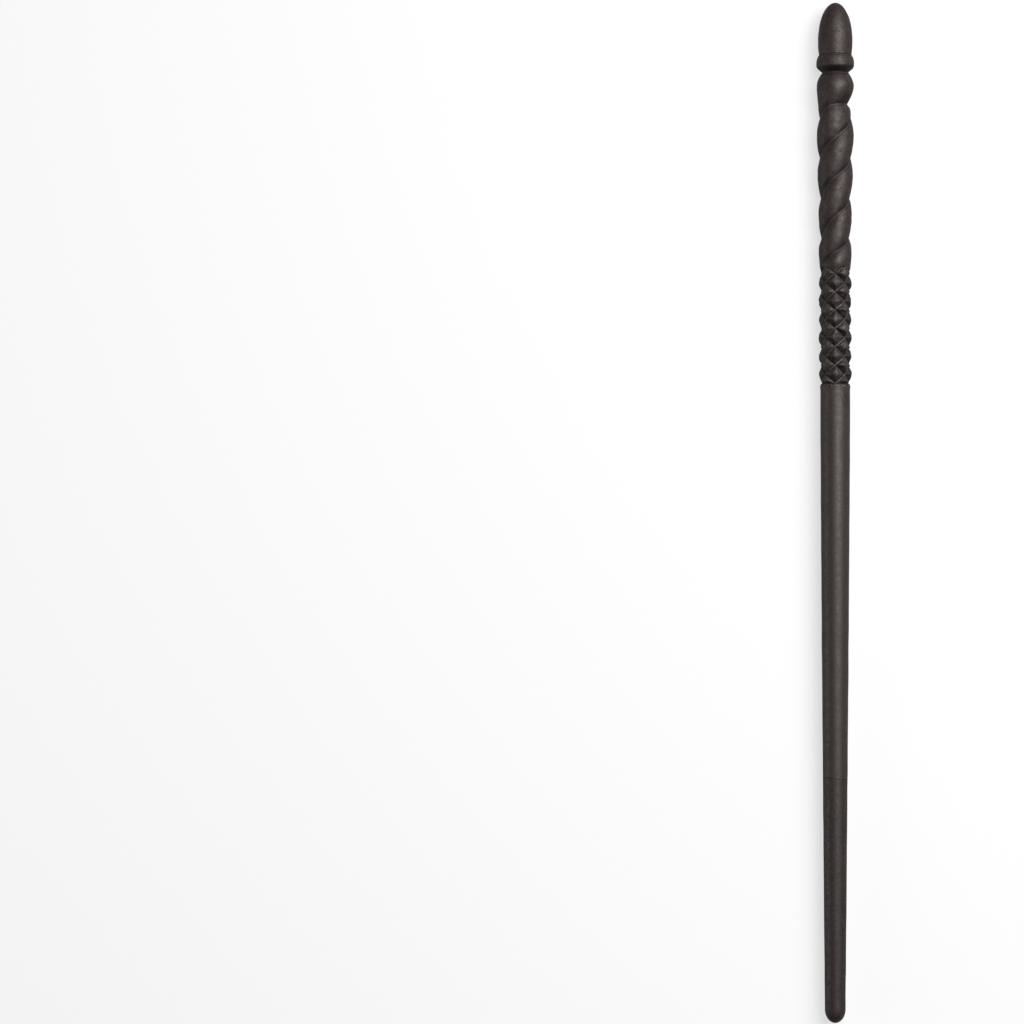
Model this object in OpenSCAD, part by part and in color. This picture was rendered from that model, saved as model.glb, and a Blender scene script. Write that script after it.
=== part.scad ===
// Magic wand with a carved handle: pommel, collar, ball, twisted grip, studded band and tapered shaft.
// The wand lies along Y with its pommel at +Y and rests on the plane z = 0. All sizes are in millimetres.
// A station is a distance along the wand, measured from the pommel's end. An angle is measured round the
// wand's axis, from the top of the lying wand towards +X.

/* [Overall] */
// Length from the pommel's end to the tip
wand_length = 368; // [350:1:390]

/* [Pommel] */
// Length of the pommel's nose, down to the collar
nose_length = 19; // [17:0.5:21]
// Largest radius of the nose
nose_radius = 6.18; // [5.9:0.02:6.3]
// Radius of the nose where it meets the collar
nose_foot_radius = 5.85; // [5.6:0.05:5.9]
// Largest radius of the collar
collar_radius = 6.77; // [6.7:0.01:7.2]
// Width of the collar along the wand
collar_width = 6.4; // [5.8:0.1:7]
// Radius of the neck between the collar and the ball
neck_radius = 4.72; // [4.4:0.02:5]

/* [Grip] */
// Largest radius of the ball
ball_radius = 6.64; // [6.3:0.02:6.7]
// Distance from the neck to the ball's widest place
ball_rise = 4.7; // [4:0.1:5.2]
// Distance from the neck to the ring groove under the ball
ball_length = 11.2; // [10.4:0.1:11.6]
// Distance from the ring groove to the first strand groove on top of the wand
first_strand_length = 12.4; // [12:0.1:13]
// Distance between neighbouring strand grooves along the wand
strand_pitch = 14.4; // [14:0.1:14.8]
// Radius of the strands at the ball's end of the grip
strand_radius = 6.62; // [6.3:0.02:6.7]
// How far the strands' radius falls over the length of the grip
strand_fall = 0.8; // [0.4:0.05:1]
// Depth of the grooves between the strands
strand_depth = 1.2; // [0.8:0.05:1.4]
// Extra depth of the ring groove under the ball
ring_depth = 1.38; // [0.8:0.02:1.4]

/* [Stud band] */
// Number of stud rows on top of the wand
stud_rows = 6; // [4:1:8]
// Distance between stud rows along the wand
stud_pitch = 6.6; // [6:0.1:7]
// Radius at the top of a stud
stud_radius = 5.86; // [5.6:0.02:6.2]
// Radius in the grooves between studs
stud_groove_radius = 4.76; // [4.6:0.02:5]
// Share of a stud's slope that is kept before its flat top
stud_slope = 0.75; // [0.5:0.25:1]

/* [Shaft] */
// Radius of the parallel seat under the shoulder
seat_radius = 5.33; // [5.2:0.01:5.4]
// Length of the parallel seat
seat_length = 11; // [8:1:14]
// Radius of the shaft where the tip begins to round
tip_radius = 3.72; // [3.4:0.02:4]
// Length of the rounded tip
tip_length = 5; // [3.5:0.5:6]
// Station of the joint between the shaft's two lengths
splice_station = 279.7; // [240:0.1:300]
// Slant of the joint between the shaft's two lengths, in degrees
splice_slant = 7; // [0:1:10]

/* [Inside] */
// Radius of the steel core rod
rod_radius = 1.5; // [1.3:0.1:1.6]
// Station of the core rod's upper end
rod_start = 8; // [7:0.5:10]
// Distance between the core rod's lower end and the wand's tip
rod_stop = 22; // [15:1:30]
// Radius of the round tenons that join the handle's pieces
tenon_radius = 3.4; // [3.2:0.05:3.5]
// Depth of the pommel's tenon in the ball
pommel_tenon_depth = 8; // [5:0.5:9]
// Depth of the shaft's tenon in the grip
shaft_tenon_depth = 9; // [6:0.5:12]
// Gap that the glue fills on each side of a tenon or the rod
glue_gap = 0.05; // [0.03:0.01:0.08]

/* [Hidden] */

$fn = 96;
resin_colour = [0.16, 0.135, 0.13];
shaft_colour = [0.13, 0.11, 0.105];
steel_colour = [0.6, 0.61, 0.63];

// Stations of the joints and the carving. The grip's last strands are cut off by the studs part way along.
grip_turns = 3.39;
neck_station = nose_length + collar_width;
ball_station = neck_station + ball_rise;
ring_station = neck_station + ball_length;
front_groove = ring_station + first_strand_length;
cross_station = front_groove + grip_turns * strand_pitch;
band_start = cross_station - stud_pitch / 4;
band_end = cross_station + stud_rows * stud_pitch;

// The strand groove climbs to the ring groove at this angle, behind the wand
meet_angle = 180 * first_strand_length / strand_pitch;
ring_start_angle = meet_angle - 180;
fade_angle = 60;

// The grip's surface has a column of points every few degrees, and rows that fall in with its grooves
grip_sides = 40;
grip_row = strand_pitch / (grip_sides / 2);
stud_steps = 4;
stud_sides = 8 * stud_steps;
stud_row = stud_pitch / 2 / stud_steps;
strand_crest = 0.42;

// The nose is widest part way along. The collar's crest lies off its middle, and its two sides are parts of
// ellipses: the upper one starts at the nose's foot, and the lower one ends at the neck.
nose_crest = nose_length * 0.71;
collar_crest = 3;
collar_upper_span = 3.2;
collar_foot_radius = 5.36;
strand_flow = 1.6;
shoulder_length = 1.2;
shoulder_radius = 5.42;
shoulder_groove_radius = 4.8;
shoulder_fall = 1.2;
band_end_slope = 1.4;
seat_start = band_end + shoulder_length + shoulder_fall;
taper_start = seat_start + seat_length;
taper_end = wand_length - tip_length;
taper_power = 1.2;
rod_chamfer = 0.3;
arc_steps = 16;
past = 0.5;

// Points of a quarter ellipse from angle a to b, where 0 lies along the radius and 90 along the wand
function arc(at, along, across, a, b) = [for (i = [0 : arc_steps])
    let (t = a + (b - a) * i / arc_steps) [at[0] + across * cos(t), at[1] + along * sin(t)]];
function mix(a, b, t) = a + (b - a) * t;
function limit(v) = min(1, max(0, v));

// Radius along the nose, along the shaft's taper and over the strands' crests
function nose_at(station) =
    station < nose_crest
    ? nose_radius * sqrt(1 - pow(1 - station / nose_crest, 2))
    : mix(nose_radius, nose_foot_radius, pow((station - nose_crest) / (nose_length - nose_crest), 2));
function taper_at(station) = let (t = limit((station - taper_start) / (taper_end - taper_start)))
    mix(seat_radius, tip_radius, pow(t, taper_power));
function strand_top(station) =
    strand_radius - strand_fall * limit((station - ring_station) / (band_start - ring_station));

// A strand's cross-section: 0 in its grooves, 1 at its crest
function strand_lobe(t) =
    1 - pow((t - strand_crest) / (t < strand_crest ? strand_crest : 1 - strand_crest), 2);

// Station of the strand groove that meets the ring groove behind the wand, at an angle from
// ring_start_angle to a full turn past it. The other groove is one pitch further on.
function groove_station(angle) = front_groove - strand_pitch * angle / 180;
function turned(angle) = angle - 360 * floor((angle - ring_start_angle) / 360);
function ring_floor(station, angle) =
    strand_top(station) - strand_depth - ring_depth * max(0, sin(angle - ring_start_angle));

// The ball from the neck to the groove that ends it. A short ball closes round, and a long one flows into
// a strand.
function ball_at(station, end, floor_radius) =
    station < ball_station
    ? neck_radius
      + (ball_radius - neck_radius) * sqrt(max(0, 1 - pow((ball_station - station) / ball_rise, 2)))
    : let (t = limit((station - ball_station) / (end - ball_station)),
           flow = limit((end - ring_station) / ball_rise))
      ball_radius - (ball_radius - floor_radius) * mix(1 - sqrt(1 - t * t), pow(t, strand_flow), flow);
function strand_at(station, angle) =
    let (phase = (station - groove_station(angle)) / strand_pitch, top = strand_top(station))
    top - strand_depth * (1 - strand_lobe(phase - floor(phase)));
function first_strand_at(station, angle) =
    let (groove = groove_station(angle), width = max(groove - ring_station, 0.01),
         t = limit((station - ring_station) / width))
    mix(ring_floor(station, angle), strand_top(station) - strand_depth, t)
    + strand_depth * sqrt(width / strand_pitch) * strand_lobe(t);

// Radius of the grip's carved surface
function grip_at(station, any_angle) =
    let (angle = turned(any_angle), groove = groove_station(angle), low = strand_top(station) - strand_depth)
    angle <= meet_angle
    ? (station < ring_station ? ball_at(station, ring_station, ring_floor(station, angle))
       : station < groove ? first_strand_at(station, angle) : strand_at(station, angle))
    : let (fade = (1 + cos(180 * limit((angle - meet_angle) / fade_angle))) / 2,
           next = groove + strand_pitch,
           cut = station < groove ? ball_at(station, max(groove, ball_station + 0.5), low)
                                  : strand_at(station, angle),
           whole = station < next ? ball_at(station, next, low) : strand_at(station, angle))
      mix(whole, cut, fade);

// Radius of the studded surface: pyramids between two crossing families of grooves
function off_line(v) = abs(v - round(v));
function stud_at(station, angle) =
    let (x = angle / 45, y = 2 * (station - cross_station) / stud_pitch,
         rise = 2 * min(off_line((x + y) / 2), off_line((x - y) / 2)),
         carved = mix(stud_groove_radius, stud_radius, min(rise, stud_slope) / stud_slope))
    min(carved, shoulder_groove_radius + band_end_slope * (band_end - station));

// A closed solid from a grid of radii: one ring of points for each station. Each square is split along its
// more even diagonal, or along the lower one where both are even, so that a slanting groove stays sharp.
module carved(stations, radii) {
    rows = len(stations);
    sides = len(radii[0]);
    function at(row, side) = row * sides + side % sides;
    points = [for (row = [0 : rows - 1], side = [0 : sides - 1])
        let (angle = 360 * side / sides)
        [radii[row][side] * sin(angle), -radii[row][side] * cos(angle), wand_length - stations[row]]];
    function cost(a, b, c, d) =
        let (one = radii[a][b % sides], other = radii[c][d % sides]) abs(one - other) + 0.1 * (one + other);
    walls = [for (row = [0 : rows - 2], side = [0 : sides - 1])
        let (rising = cost(row, side + 1, row + 1, side) <= cost(row, side, row + 1, side + 1) + 0.0001)
        each rising
            ? [[at(row, side), at(row, side + 1), at(row + 1, side)],
               [at(row, side + 1), at(row + 1, side + 1), at(row + 1, side)]]
            : [[at(row, side), at(row, side + 1), at(row + 1, side + 1)],
               [at(row, side), at(row + 1, side + 1), at(row + 1, side)]]];
    top = [[for (side = [sides - 1 : -1 : 0]) at(0, side)]];
    bottom = [[for (side = [0 : sides - 1]) at(rows - 1, side)]];
    polyhedron(points = points, faces = concat(top, walls, bottom), convexity = 8);
}

// Lays an upright piece down along Y. Upright, the tip is at z = 0 and the pommel is at the top.
module lay() {
    translate([0, -wand_length / 2, collar_radius]) rotate([-90, 0, 0]) children();
}

// A round bar between two stations
module bar(radius, from, to) {
    translate([0, 0, wand_length - to]) cylinder(r = radius, h = to - from);
}

module rod_bore(from, to) {
    bar(rod_radius + glue_gap, from, to);
}

module core_rod() {
    high = wand_length - rod_start;
    color(steel_colour) lay() rotate_extrude()
        polygon([[0, high], [rod_radius - rod_chamfer, high], [rod_radius, high - rod_chamfer],
            [rod_radius, rod_stop + rod_chamfer], [rod_radius - rod_chamfer, rod_stop], [0, rod_stop]]);
}

module pommel_nose() {
    steps = arc_steps * 2;
    outline = [for (i = [0 : steps])
        let (station = nose_length * (1 - cos(90 * i / steps))) [nose_at(station), wand_length - station]];
    foot = wand_length - nose_length;
    color(resin_colour) lay() difference() {
        union() {
            rotate_extrude() polygon(concat(outline, [[0, foot]]));
            bar(tenon_radius, nose_length - past, neck_station + pommel_tenon_depth);
        }
        rod_bore(rod_start - glue_gap, neck_station + pommel_tenon_depth + past);
    }
}

module pommel_collar() {
    crest = wand_length - nose_length - collar_crest;
    lower = collar_width - collar_crest;
    upper_angle = asin(collar_crest / collar_upper_span);
    bore = tenon_radius + glue_gap;
    color(resin_colour) lay() rotate_extrude()
        polygon(concat([[bore, wand_length - nose_length]],
            arc([collar_foot_radius, crest], collar_upper_span, collar_radius - collar_foot_radius,
                upper_angle, 0),
            arc([neck_radius, crest], lower, collar_radius - neck_radius, 0, -90),
            [[bore, wand_length - neck_station]]));
}

module twist_grip() {
    first_row = front_groove - grip_row * floor((front_groove - neck_station - 0.1) / grip_row);
    stations = concat([neck_station], [for (s = [first_row : grip_row : band_start - 0.1]) s], [band_start]);
    color(resin_colour) lay() difference() {
        carved(stations, [for (s = stations)
            [for (i = [0 : grip_sides - 1]) grip_at(s, 360 * i / grip_sides)]]);
        bar(tenon_radius + glue_gap, neck_station - past, neck_station + pommel_tenon_depth + glue_gap);
        bar(tenon_radius + glue_gap, band_start - shaft_tenon_depth - glue_gap, band_start + past);
        rod_bore(neck_station, band_start);
    }
}

module stud_band() {
    stations = [for (s = [band_start : stud_row : band_end + 0.01]) s];
    color(resin_colour) lay() difference() {
        carved(stations, [for (s = stations)
            [for (i = [0 : stud_sides - 1]) stud_at(s, 360 * i / stud_sides)]]);
        bar(tenon_radius + glue_gap, band_start - past, band_end + past);
    }
}

// The whole shaft, before the joint between its two lengths is cut
module shaft_blank() {
    shoulder = arc([shoulder_groove_radius, wand_length - band_end - shoulder_length], shoulder_length,
        shoulder_radius - shoulder_groove_radius, 90, 0);
    taper = [for (i = [0 : arc_steps]) let (station = mix(taper_start, taper_end, i / arc_steps))
        [taper_at(station), wand_length - station]];
    tip = arc([0, tip_length], tip_length, tip_radius, 0, -90);
    difference() {
        union() {
            rotate_extrude() polygon(concat([[0, wand_length - band_end]], shoulder,
                [[seat_radius, wand_length - seat_start]], taper, tip));
            bar(tenon_radius, band_start - shaft_tenon_depth, band_end + past);
        }
        rod_bore(band_start - shaft_tenon_depth - past, wand_length - rod_stop + glue_gap);
    }
}

// Everything on the pommel's side of the slanted joint, or on the tip's side of it
module splice_side(upper) {
    reach = wand_length;
    translate([0, 0, wand_length - splice_station]) rotate([0, splice_slant, 0])
        translate([-reach / 2, -reach / 2, upper ? 0 : -reach]) cube(reach);
}

module shaft_upper() {
    color(shaft_colour) lay() intersection() {
        shaft_blank();
        splice_side(true);
    }
}

module shaft_lower() {
    color(shaft_colour) lay() intersection() {
        shaft_blank();
        splice_side(false);
    }
}

core_rod();
pommel_nose();
pommel_collar();
twist_grip();
stud_band();
shaft_upper();
shaft_lower();
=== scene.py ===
"""Studio model of a slim dark wand with a carved handle.

The wand lies along Y with its pommel at +Y. The sizes that the classes hold are in millimetres, and the
meshes are in metres. A station is a distance along the wand from the pommel's end. An angle is measured round
the wand's axis, in degrees, from the top of the lying wand towards +X.
"""

import logging
import math
from dataclasses import dataclass, field
from enum import Enum
from typing import Any, Callable

import bpy
import numpy as np
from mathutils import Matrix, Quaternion, Vector


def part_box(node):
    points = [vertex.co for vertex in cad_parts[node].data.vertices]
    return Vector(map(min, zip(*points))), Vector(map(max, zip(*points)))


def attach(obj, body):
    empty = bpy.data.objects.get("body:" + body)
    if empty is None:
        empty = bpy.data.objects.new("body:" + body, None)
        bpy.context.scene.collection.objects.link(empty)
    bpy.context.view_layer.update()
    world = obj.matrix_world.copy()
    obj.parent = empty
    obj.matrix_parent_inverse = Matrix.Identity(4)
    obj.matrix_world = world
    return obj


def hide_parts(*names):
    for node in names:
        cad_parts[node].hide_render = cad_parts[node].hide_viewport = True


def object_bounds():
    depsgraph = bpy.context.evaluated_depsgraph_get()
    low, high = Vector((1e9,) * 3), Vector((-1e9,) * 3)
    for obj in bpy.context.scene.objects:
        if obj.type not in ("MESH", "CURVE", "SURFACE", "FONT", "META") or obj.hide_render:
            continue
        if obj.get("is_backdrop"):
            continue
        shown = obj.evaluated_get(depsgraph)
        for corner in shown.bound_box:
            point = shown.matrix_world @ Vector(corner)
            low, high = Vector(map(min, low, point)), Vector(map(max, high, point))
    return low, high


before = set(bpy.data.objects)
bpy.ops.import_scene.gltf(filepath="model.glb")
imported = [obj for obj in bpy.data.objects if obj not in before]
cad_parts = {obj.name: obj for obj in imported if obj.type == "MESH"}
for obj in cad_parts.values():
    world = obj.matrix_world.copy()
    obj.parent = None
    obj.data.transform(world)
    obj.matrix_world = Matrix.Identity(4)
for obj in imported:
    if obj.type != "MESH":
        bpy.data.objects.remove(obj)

MM = 0.001
LOG = logging.getLogger("wand")
WHOLE_TURN = 360.0
HALF_TURN = 180.0
EIGHTH_TURN = 45.0
# Near-black colour of the painted shade in the carving and of the dark joints.
SHADE_AND_WASH_COLOUR = (0.0022, 0.0014, 0.0012, 1.0)
DUST_COLOUR = (0.13, 0.12, 0.114, 1.0)

# Radius, darkening and lightening of each place on a carved surface. The darkening holds painted shade and
# dark joints, the lightening painted highlight and edge rubbing.
Marked = tuple[np.ndarray, np.ndarray, np.ndarray]


class Slot(Enum):
    """The record's material slots."""

    HANDLE = "handle_resin"
    SHAFT = "shaft_resin"
    STEEL = "core_steel"


# ------------------------------------------------------------------------------------- shaping helpers


def limit(value: np.ndarray) -> np.ndarray:
    """Keeps values between 0 and 1."""
    return np.clip(value, 0.0, 1.0)


def mix(start: Any, end: Any, share: Any) -> Any:
    """Blends from start to end."""
    return start + (end - start) * share


def ease(value: np.ndarray) -> np.ndarray:
    """A smooth step from 0 to 1."""
    t = limit(value)
    return t * t * (3.0 - 2.0 * t)


def bell(distance: np.ndarray, width: float) -> np.ndarray:
    """A soft ridge, 1 at no distance."""
    return np.exp(-((distance / width) ** 2))


def sine(degrees: np.ndarray) -> np.ndarray:
    """Sine of an angle in degrees."""
    return np.sin(np.radians(degrees))


def cosine(degrees: np.ndarray) -> np.ndarray:
    """Cosine of an angle in degrees."""
    return np.cos(np.radians(degrees))


@dataclass(frozen=True)
class HandWork:
    """Smooth unevenness left by hand, as a seeded sum of waves through space."""

    seed: int
    span: float
    depth: float
    waves: int = 24

    def at(self, stations: np.ndarray, radii: np.ndarray, degrees: np.ndarray) -> np.ndarray:
        """Gives how far the surface stands proud at each place.

        Args:
            stations: Stations of the places.
            radii: Distances from the axis.
            degrees: Angles round the axis.

        Returns:
            One height for each place.
        """
        random = np.random.default_rng(self.seed)
        places = np.stack(np.broadcast_arrays(radii * sine(degrees), stations, radii * cosine(degrees)), -1)
        heading = random.normal(size=(self.waves, 3))
        heading /= np.linalg.norm(heading, axis=1, keepdims=True)
        pace = 2.0 * math.pi / (self.span * random.uniform(0.7, 1.5, self.waves))
        start = random.uniform(0.0, 2.0 * math.pi, self.waves)
        total = np.zeros(places.shape[:-1])
        for way, rate, shift in zip(heading, pace, start):
            total += np.sin(places @ way * rate + shift)
        return self.depth * total * math.sqrt(2.0 / self.waves)


@dataclass(frozen=True)
class PaintedSlopeShade:
    """Painted shade and painted highlight, laid over the carving by which way each slope faces.

    Slopes that face the pommel's side are painted lighter as highlight, and those that face away are painted
    dark as shade.
    """

    down: float = 0.8
    across: float = 0.6
    reach: float = 0.12
    round_reach: float = 1.25
    shade_start: float = 0.19
    shade_span: float = 0.28
    shade_most: float = 0.95
    highlight_start: float = 0.15
    highlight_span: float = 1.0
    highlight_most: float = 0.3

    def over(self, shape: Callable, stations: np.ndarray, degrees: np.ndarray, wash: np.ndarray,
             wear: np.ndarray) -> tuple[np.ndarray, np.ndarray]:
        """Adds the painted shade and highlight by slope to a surface's own marks.

        Args:
            shape: Gives the radius at stations and angles.
            stations: Stations of the places.
            degrees: Their angles.
            wash: The darkening that is there already, painted shade and dark joints.
            wear: The lightening that is there already, edge rubbing and painted highlight.

        Returns:
            Both masks, with the painted shade and highlight by slope added.
        """
        near, turn = self.reach, self.round_reach
        along = (shape(stations + near, degrees) - shape(stations - near, degrees)) / (2.0 * near)
        sideways = (shape(stations, degrees + turn) - shape(stations, degrees - turn)) / (2.0 * near)
        facing = self.down * along - self.across * sideways
        # Painted shade on slopes turned away from the pommel's side, painted highlight on slopes turned
        # towards it.
        dark = self.shade_most * ease((-facing - self.shade_start) / self.shade_span)
        light = self.highlight_most * ease((facing - self.highlight_start) / self.highlight_span)
        return np.maximum(wash, dark), np.maximum(wear, light * (1.0 - limit(wash)))


@dataclass(frozen=True)
class MouldLine:
    """The two faint lines, opposite each other, where the casting mould's halves met."""

    angle: float = -43.0
    height: float = 0.035
    width: float = 0.11
    least: float = 0.45
    column_step: float = 1.1
    apart: float = 0.6
    beads: HandWork = HandWork(seed=11, span=2.2, depth=0.5)

    def at(self, stations: np.ndarray, radii: np.ndarray, degrees: np.ndarray) -> np.ndarray:
        """Height of the line at each place, which comes and goes along it."""
        off = (degrees - self.angle + HALF_TURN / 2) % HALF_TURN - HALF_TURN / 2
        fade = limit(self.least + self.beads.at(stations, 0.0 * radii, degrees))
        return self.height * fade * bell(radii * np.radians(off), self.width)

    def columns(self, even: np.ndarray) -> np.ndarray:
        """Adds close columns of points on both lines to an even set of angles within half a turn."""
        near = self.angle + self.column_step * np.arange(-2, 3)
        extra = even[0] + (near - even[0]) % HALF_TURN
        apart = np.abs(even[:, None] - extra[None, :]).min(axis=1) > self.apart
        apart[0] = True
        return np.sort(np.concatenate([even[apart], extra]))


@dataclass(frozen=True)
class Lip:
    """A thin raised lip beside a groove, and the scored line under it."""

    height: float
    crest: float
    width: float
    score: float
    score_at: float
    score_width: float

    def at(self, down: np.ndarray, kept: Any = 1.0) -> np.ndarray:
        """Height of the lip.

        Args:
            down: Distances below the groove.
            kept: How much of the lip is left beside its scored line, from 0 to 1.

        Returns:
            One height for each distance.
        """
        raised = self.height * kept * bell(down - self.crest, self.width)
        return raised - self.score * bell(down - self.score_at, self.score_width)


@dataclass(frozen=True)
class Layout:
    """Where the wand's pieces meet, read from the frame."""

    pommel_y: float
    axis_z: float
    length: float
    nose_foot: float
    neck: float
    band_start: float
    band_end: float
    splice: float
    nose_radius: float
    collar_radius: float
    rod_top: float
    rod_end: float
    rod_radius: float
    tenon_end: float
    tenon_start: float

    @classmethod
    def from_frame(cls) -> "Layout":
        """Reads every station and radius from the frame's boxes.

        Returns:
            The layout in millimetres.
        """
        low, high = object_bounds()

        def stations(node: str) -> tuple[float, float]:
            """Upper and lower station of a node."""
            start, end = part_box(node)
            return (high.y - end.y) / MM, (high.y - start.y) / MM

        def radius(node: str) -> float:
            """Largest radius of a node."""
            start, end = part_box(node)
            return (end.x - start.x) / 2 / MM

        collar, band = stations("pommel_collar"), stations("stud_band")
        upper, lower, rod = stations("shaft_upper"), stations("shaft_lower"), stations("core_rod")
        return cls(
            pommel_y=high.y, axis_z=(low.z + high.z) / 2, length=(high.y - low.y) / MM,
            nose_foot=collar[0], neck=collar[1], band_start=band[0], band_end=band[1],
            splice=(upper[1] + lower[0]) / 2, nose_radius=radius("pommel_nose"),
            collar_radius=radius("pommel_collar"), rod_top=rod[0], rod_end=rod[1],
            rod_radius=radius("core_rod"), tenon_end=stations("pommel_nose")[1],
            tenon_start=upper[0],
        )

    def places(self, stations: np.ndarray, radii: np.ndarray, degrees: np.ndarray) -> np.ndarray:
        """Turns stations, radii and angles into points of the frame, in metres."""
        x = radii * sine(degrees) * MM
        y = self.pommel_y - stations * MM
        z = self.axis_z + radii * cosine(degrees) * MM
        return np.stack(np.broadcast_arrays(x, y, z), -1)


class Skin:
    """A closed skin under construction: points with two masks, of painted shade with dark joints and of
    painted highlight with edge rubbing, and faces between rings of points.
    """

    def __init__(self, layout: Layout) -> None:
        """Starts an empty skin.

        Args:
            layout: Where the wand lies.
        """
        self.layout = layout
        self.points: list[np.ndarray] = []
        self.masks: list[np.ndarray] = []
        self.faces: list[list[int]] = []
        self.count = 0

    def add(self, stations: Any, radii: Any, degrees: Any, wash: Any = 0.0, wear: Any = 0.0) -> np.ndarray:
        """Adds points.

        Args:
            stations: Stations of the points.
            radii: Their distances from the axis.
            degrees: Their angles.
            wash: How dark the place is painted, as shade and along dark joints, from 0 to 1.
            wear: How much lighter the place is painted, as highlight and by edge rubbing, from 0 to 1.

        Returns:
            The points' numbers, in the same arrangement.
        """
        stations, radii, degrees, wash, wear = np.broadcast_arrays(stations, radii, degrees, wash, wear)
        numbers = self.count + np.arange(stations.size).reshape(stations.shape)
        self.points.append(self.layout.places(stations, radii, degrees).reshape(-1, 3))
        self.masks.append(np.stack([limit(wash), limit(wear)], -1).reshape(-1, 2))
        self.count += stations.size
        return numbers

    def cover(self, rows: np.ndarray, closed: bool = True, rising: np.ndarray | None = None) -> None:
        """Covers a net of points, whose rows go down the wand, with faces.

        Args:
            rows: The points' numbers, a row for each ring.
            closed: Whether the last column joins the first.
            rising: Where given, each square is cut in two, along its rising diagonal where this is true.
        """
        beside = np.roll(rows, -1, axis=1) if closed else rows[:, 1:]
        own = rows if closed else rows[:, :-1]
        corners = np.stack([own[:-1], own[1:], beside[1:], beside[:-1]], -1)
        if rising is None:
            self.take(corners.reshape(-1, 4))
            return
        up, down = corners[rising], corners[~rising]
        halves = up[:, [0, 1, 3]], up[:, [1, 2, 3]], down[:, [0, 1, 2]], down[:, [0, 2, 3]]
        self.take(np.concatenate(halves))

    def take(self, corners: np.ndarray) -> None:
        """Keeps faces, less their repeated corners, and drops those that have shrunk to a line."""
        repeated = (corners == np.roll(corners, 1, axis=1)).any(axis=1)
        crossed = np.zeros(len(corners), bool)
        if corners.shape[1] == 4:
            crossed = (corners[:, 0] == corners[:, 2]) | (corners[:, 1] == corners[:, 3])
        self.faces += corners[~(repeated | crossed)].tolist()
        for face in corners[repeated & ~crossed].tolist():
            kept = list(dict.fromkeys(face))
            if len(kept) > 2:
                self.faces.append(kept)

    def join(self, *rings: np.ndarray) -> None:
        """Covers the space between rings that have the same number of points."""
        self.cover(np.stack(rings))

    def close(self, ring: np.ndarray, station: float, below: bool) -> None:
        """Closes a ring with a point on the axis.

        Args:
            ring: The ring's points.
            station: Where the closing point lies.
            below: Whether it closes the lower end of the rings before it.
        """
        middle = np.full_like(ring, self.add(station, 0.0, 0.0))
        self.join(*((ring, middle) if below else (middle, ring)))

    def make(self, name: str) -> bpy.types.Object:
        """Makes the object.

        Args:
            name: The piece's name.

        Returns:
            A smooth mesh object with its masks of painted shade and painted highlight.
        """
        used = np.zeros(self.count, bool)
        used[[corner for face in self.faces for corner in face]] = True
        renumbered = (np.cumsum(used) - 1).tolist()
        faces = [[renumbered[corner] for corner in face] for face in self.faces]
        mesh = bpy.data.meshes.new(name)
        mesh.from_pydata(np.concatenate(self.points)[used].tolist(), [], faces)
        masks = np.concatenate(self.masks)[used]
        # The masks of painted shade and painted highlight are stored on the points.
        for column, mask in enumerate(("wash", "wear")):
            stored = mesh.attributes.new(mask, "FLOAT", "POINT")
            stored.data.foreach_set("value", masks[:, column].astype(np.float32))
        mesh.shade_smooth()
        piece = bpy.data.objects.new(name, mesh)
        bpy.context.scene.collection.objects.link(piece)
        return piece


def spread(*stretches: tuple[float, float, float]) -> np.ndarray:
    """Rows of points along the wand.

    Args:
        stretches: For each stretch, its start, its end and the step wanted between rows.

    Returns:
        The stations, each once.
    """
    rows = [np.linspace(a, b, max(2, round(abs(b - a) / step) + 1)) for a, b, step in stretches]
    return np.concatenate([rows[0]] + [r[1:] for r in rows[1:]])


# ----------------------------------------------------------------------------------------------- paint


class Wiring:
    """Adds nodes to a node tree and links them."""

    def __init__(self, tree: bpy.types.NodeTree) -> None:
        """Takes the tree to fill."""
        self.tree = tree

    def node(self, kind: str, options: dict[str, Any] | None = None, **sockets: Any) -> bpy.types.Node:
        """Adds a node.

        Args:
            kind: The node's type.
            options: Properties of the node itself.
            sockets: Values or sockets for its inputs, by name, with _ for a space, or by number as in i0.

        Returns:
            The node.
        """
        made = self.tree.nodes.new(kind)
        for key, value in (options or {}).items():
            setattr(made, key, value)
        for key, value in sockets.items():
            place = int(key[1:]) if key[0] == "i" and key[1:].isdigit() else key.replace("_", " ")
            if isinstance(value, bpy.types.NodeSocket):
                self.tree.links.new(value, made.inputs[place])
            else:
                made.inputs[place].default_value = value
        return made

    def math(self, operation: str, *values: Any, clamp: bool = False) -> bpy.types.NodeSocket:
        """Adds a Math node and returns its result."""
        sockets = {f"i{number}": value for number, value in enumerate(values)}
        return self.node("ShaderNodeMath", {"operation": operation, "use_clamp": clamp}, **sockets).outputs[0]

    def blend(self, share: Any, first: Any, second: Any, mode: str = "MIX") -> bpy.types.NodeSocket:
        """Adds a colour Mix node and returns its colour."""
        options = {"data_type": "RGBA", "blend_type": mode}
        return self.node("ShaderNodeMix", options, i0=share, i6=first, i7=second).outputs[2]

    def range(self, value: Any, low: float, high: float, start: float = 0.0, end: float = 1.0) -> Any:
        """Adds a Map Range node that eases and clamps, and returns its result."""
        made = self.node("ShaderNodeMapRange", {"interpolation_type": "SMOOTHSTEP"},
                         i0=value, i1=low, i2=high, i3=start, i4=end)
        return made.outputs[0]


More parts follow.
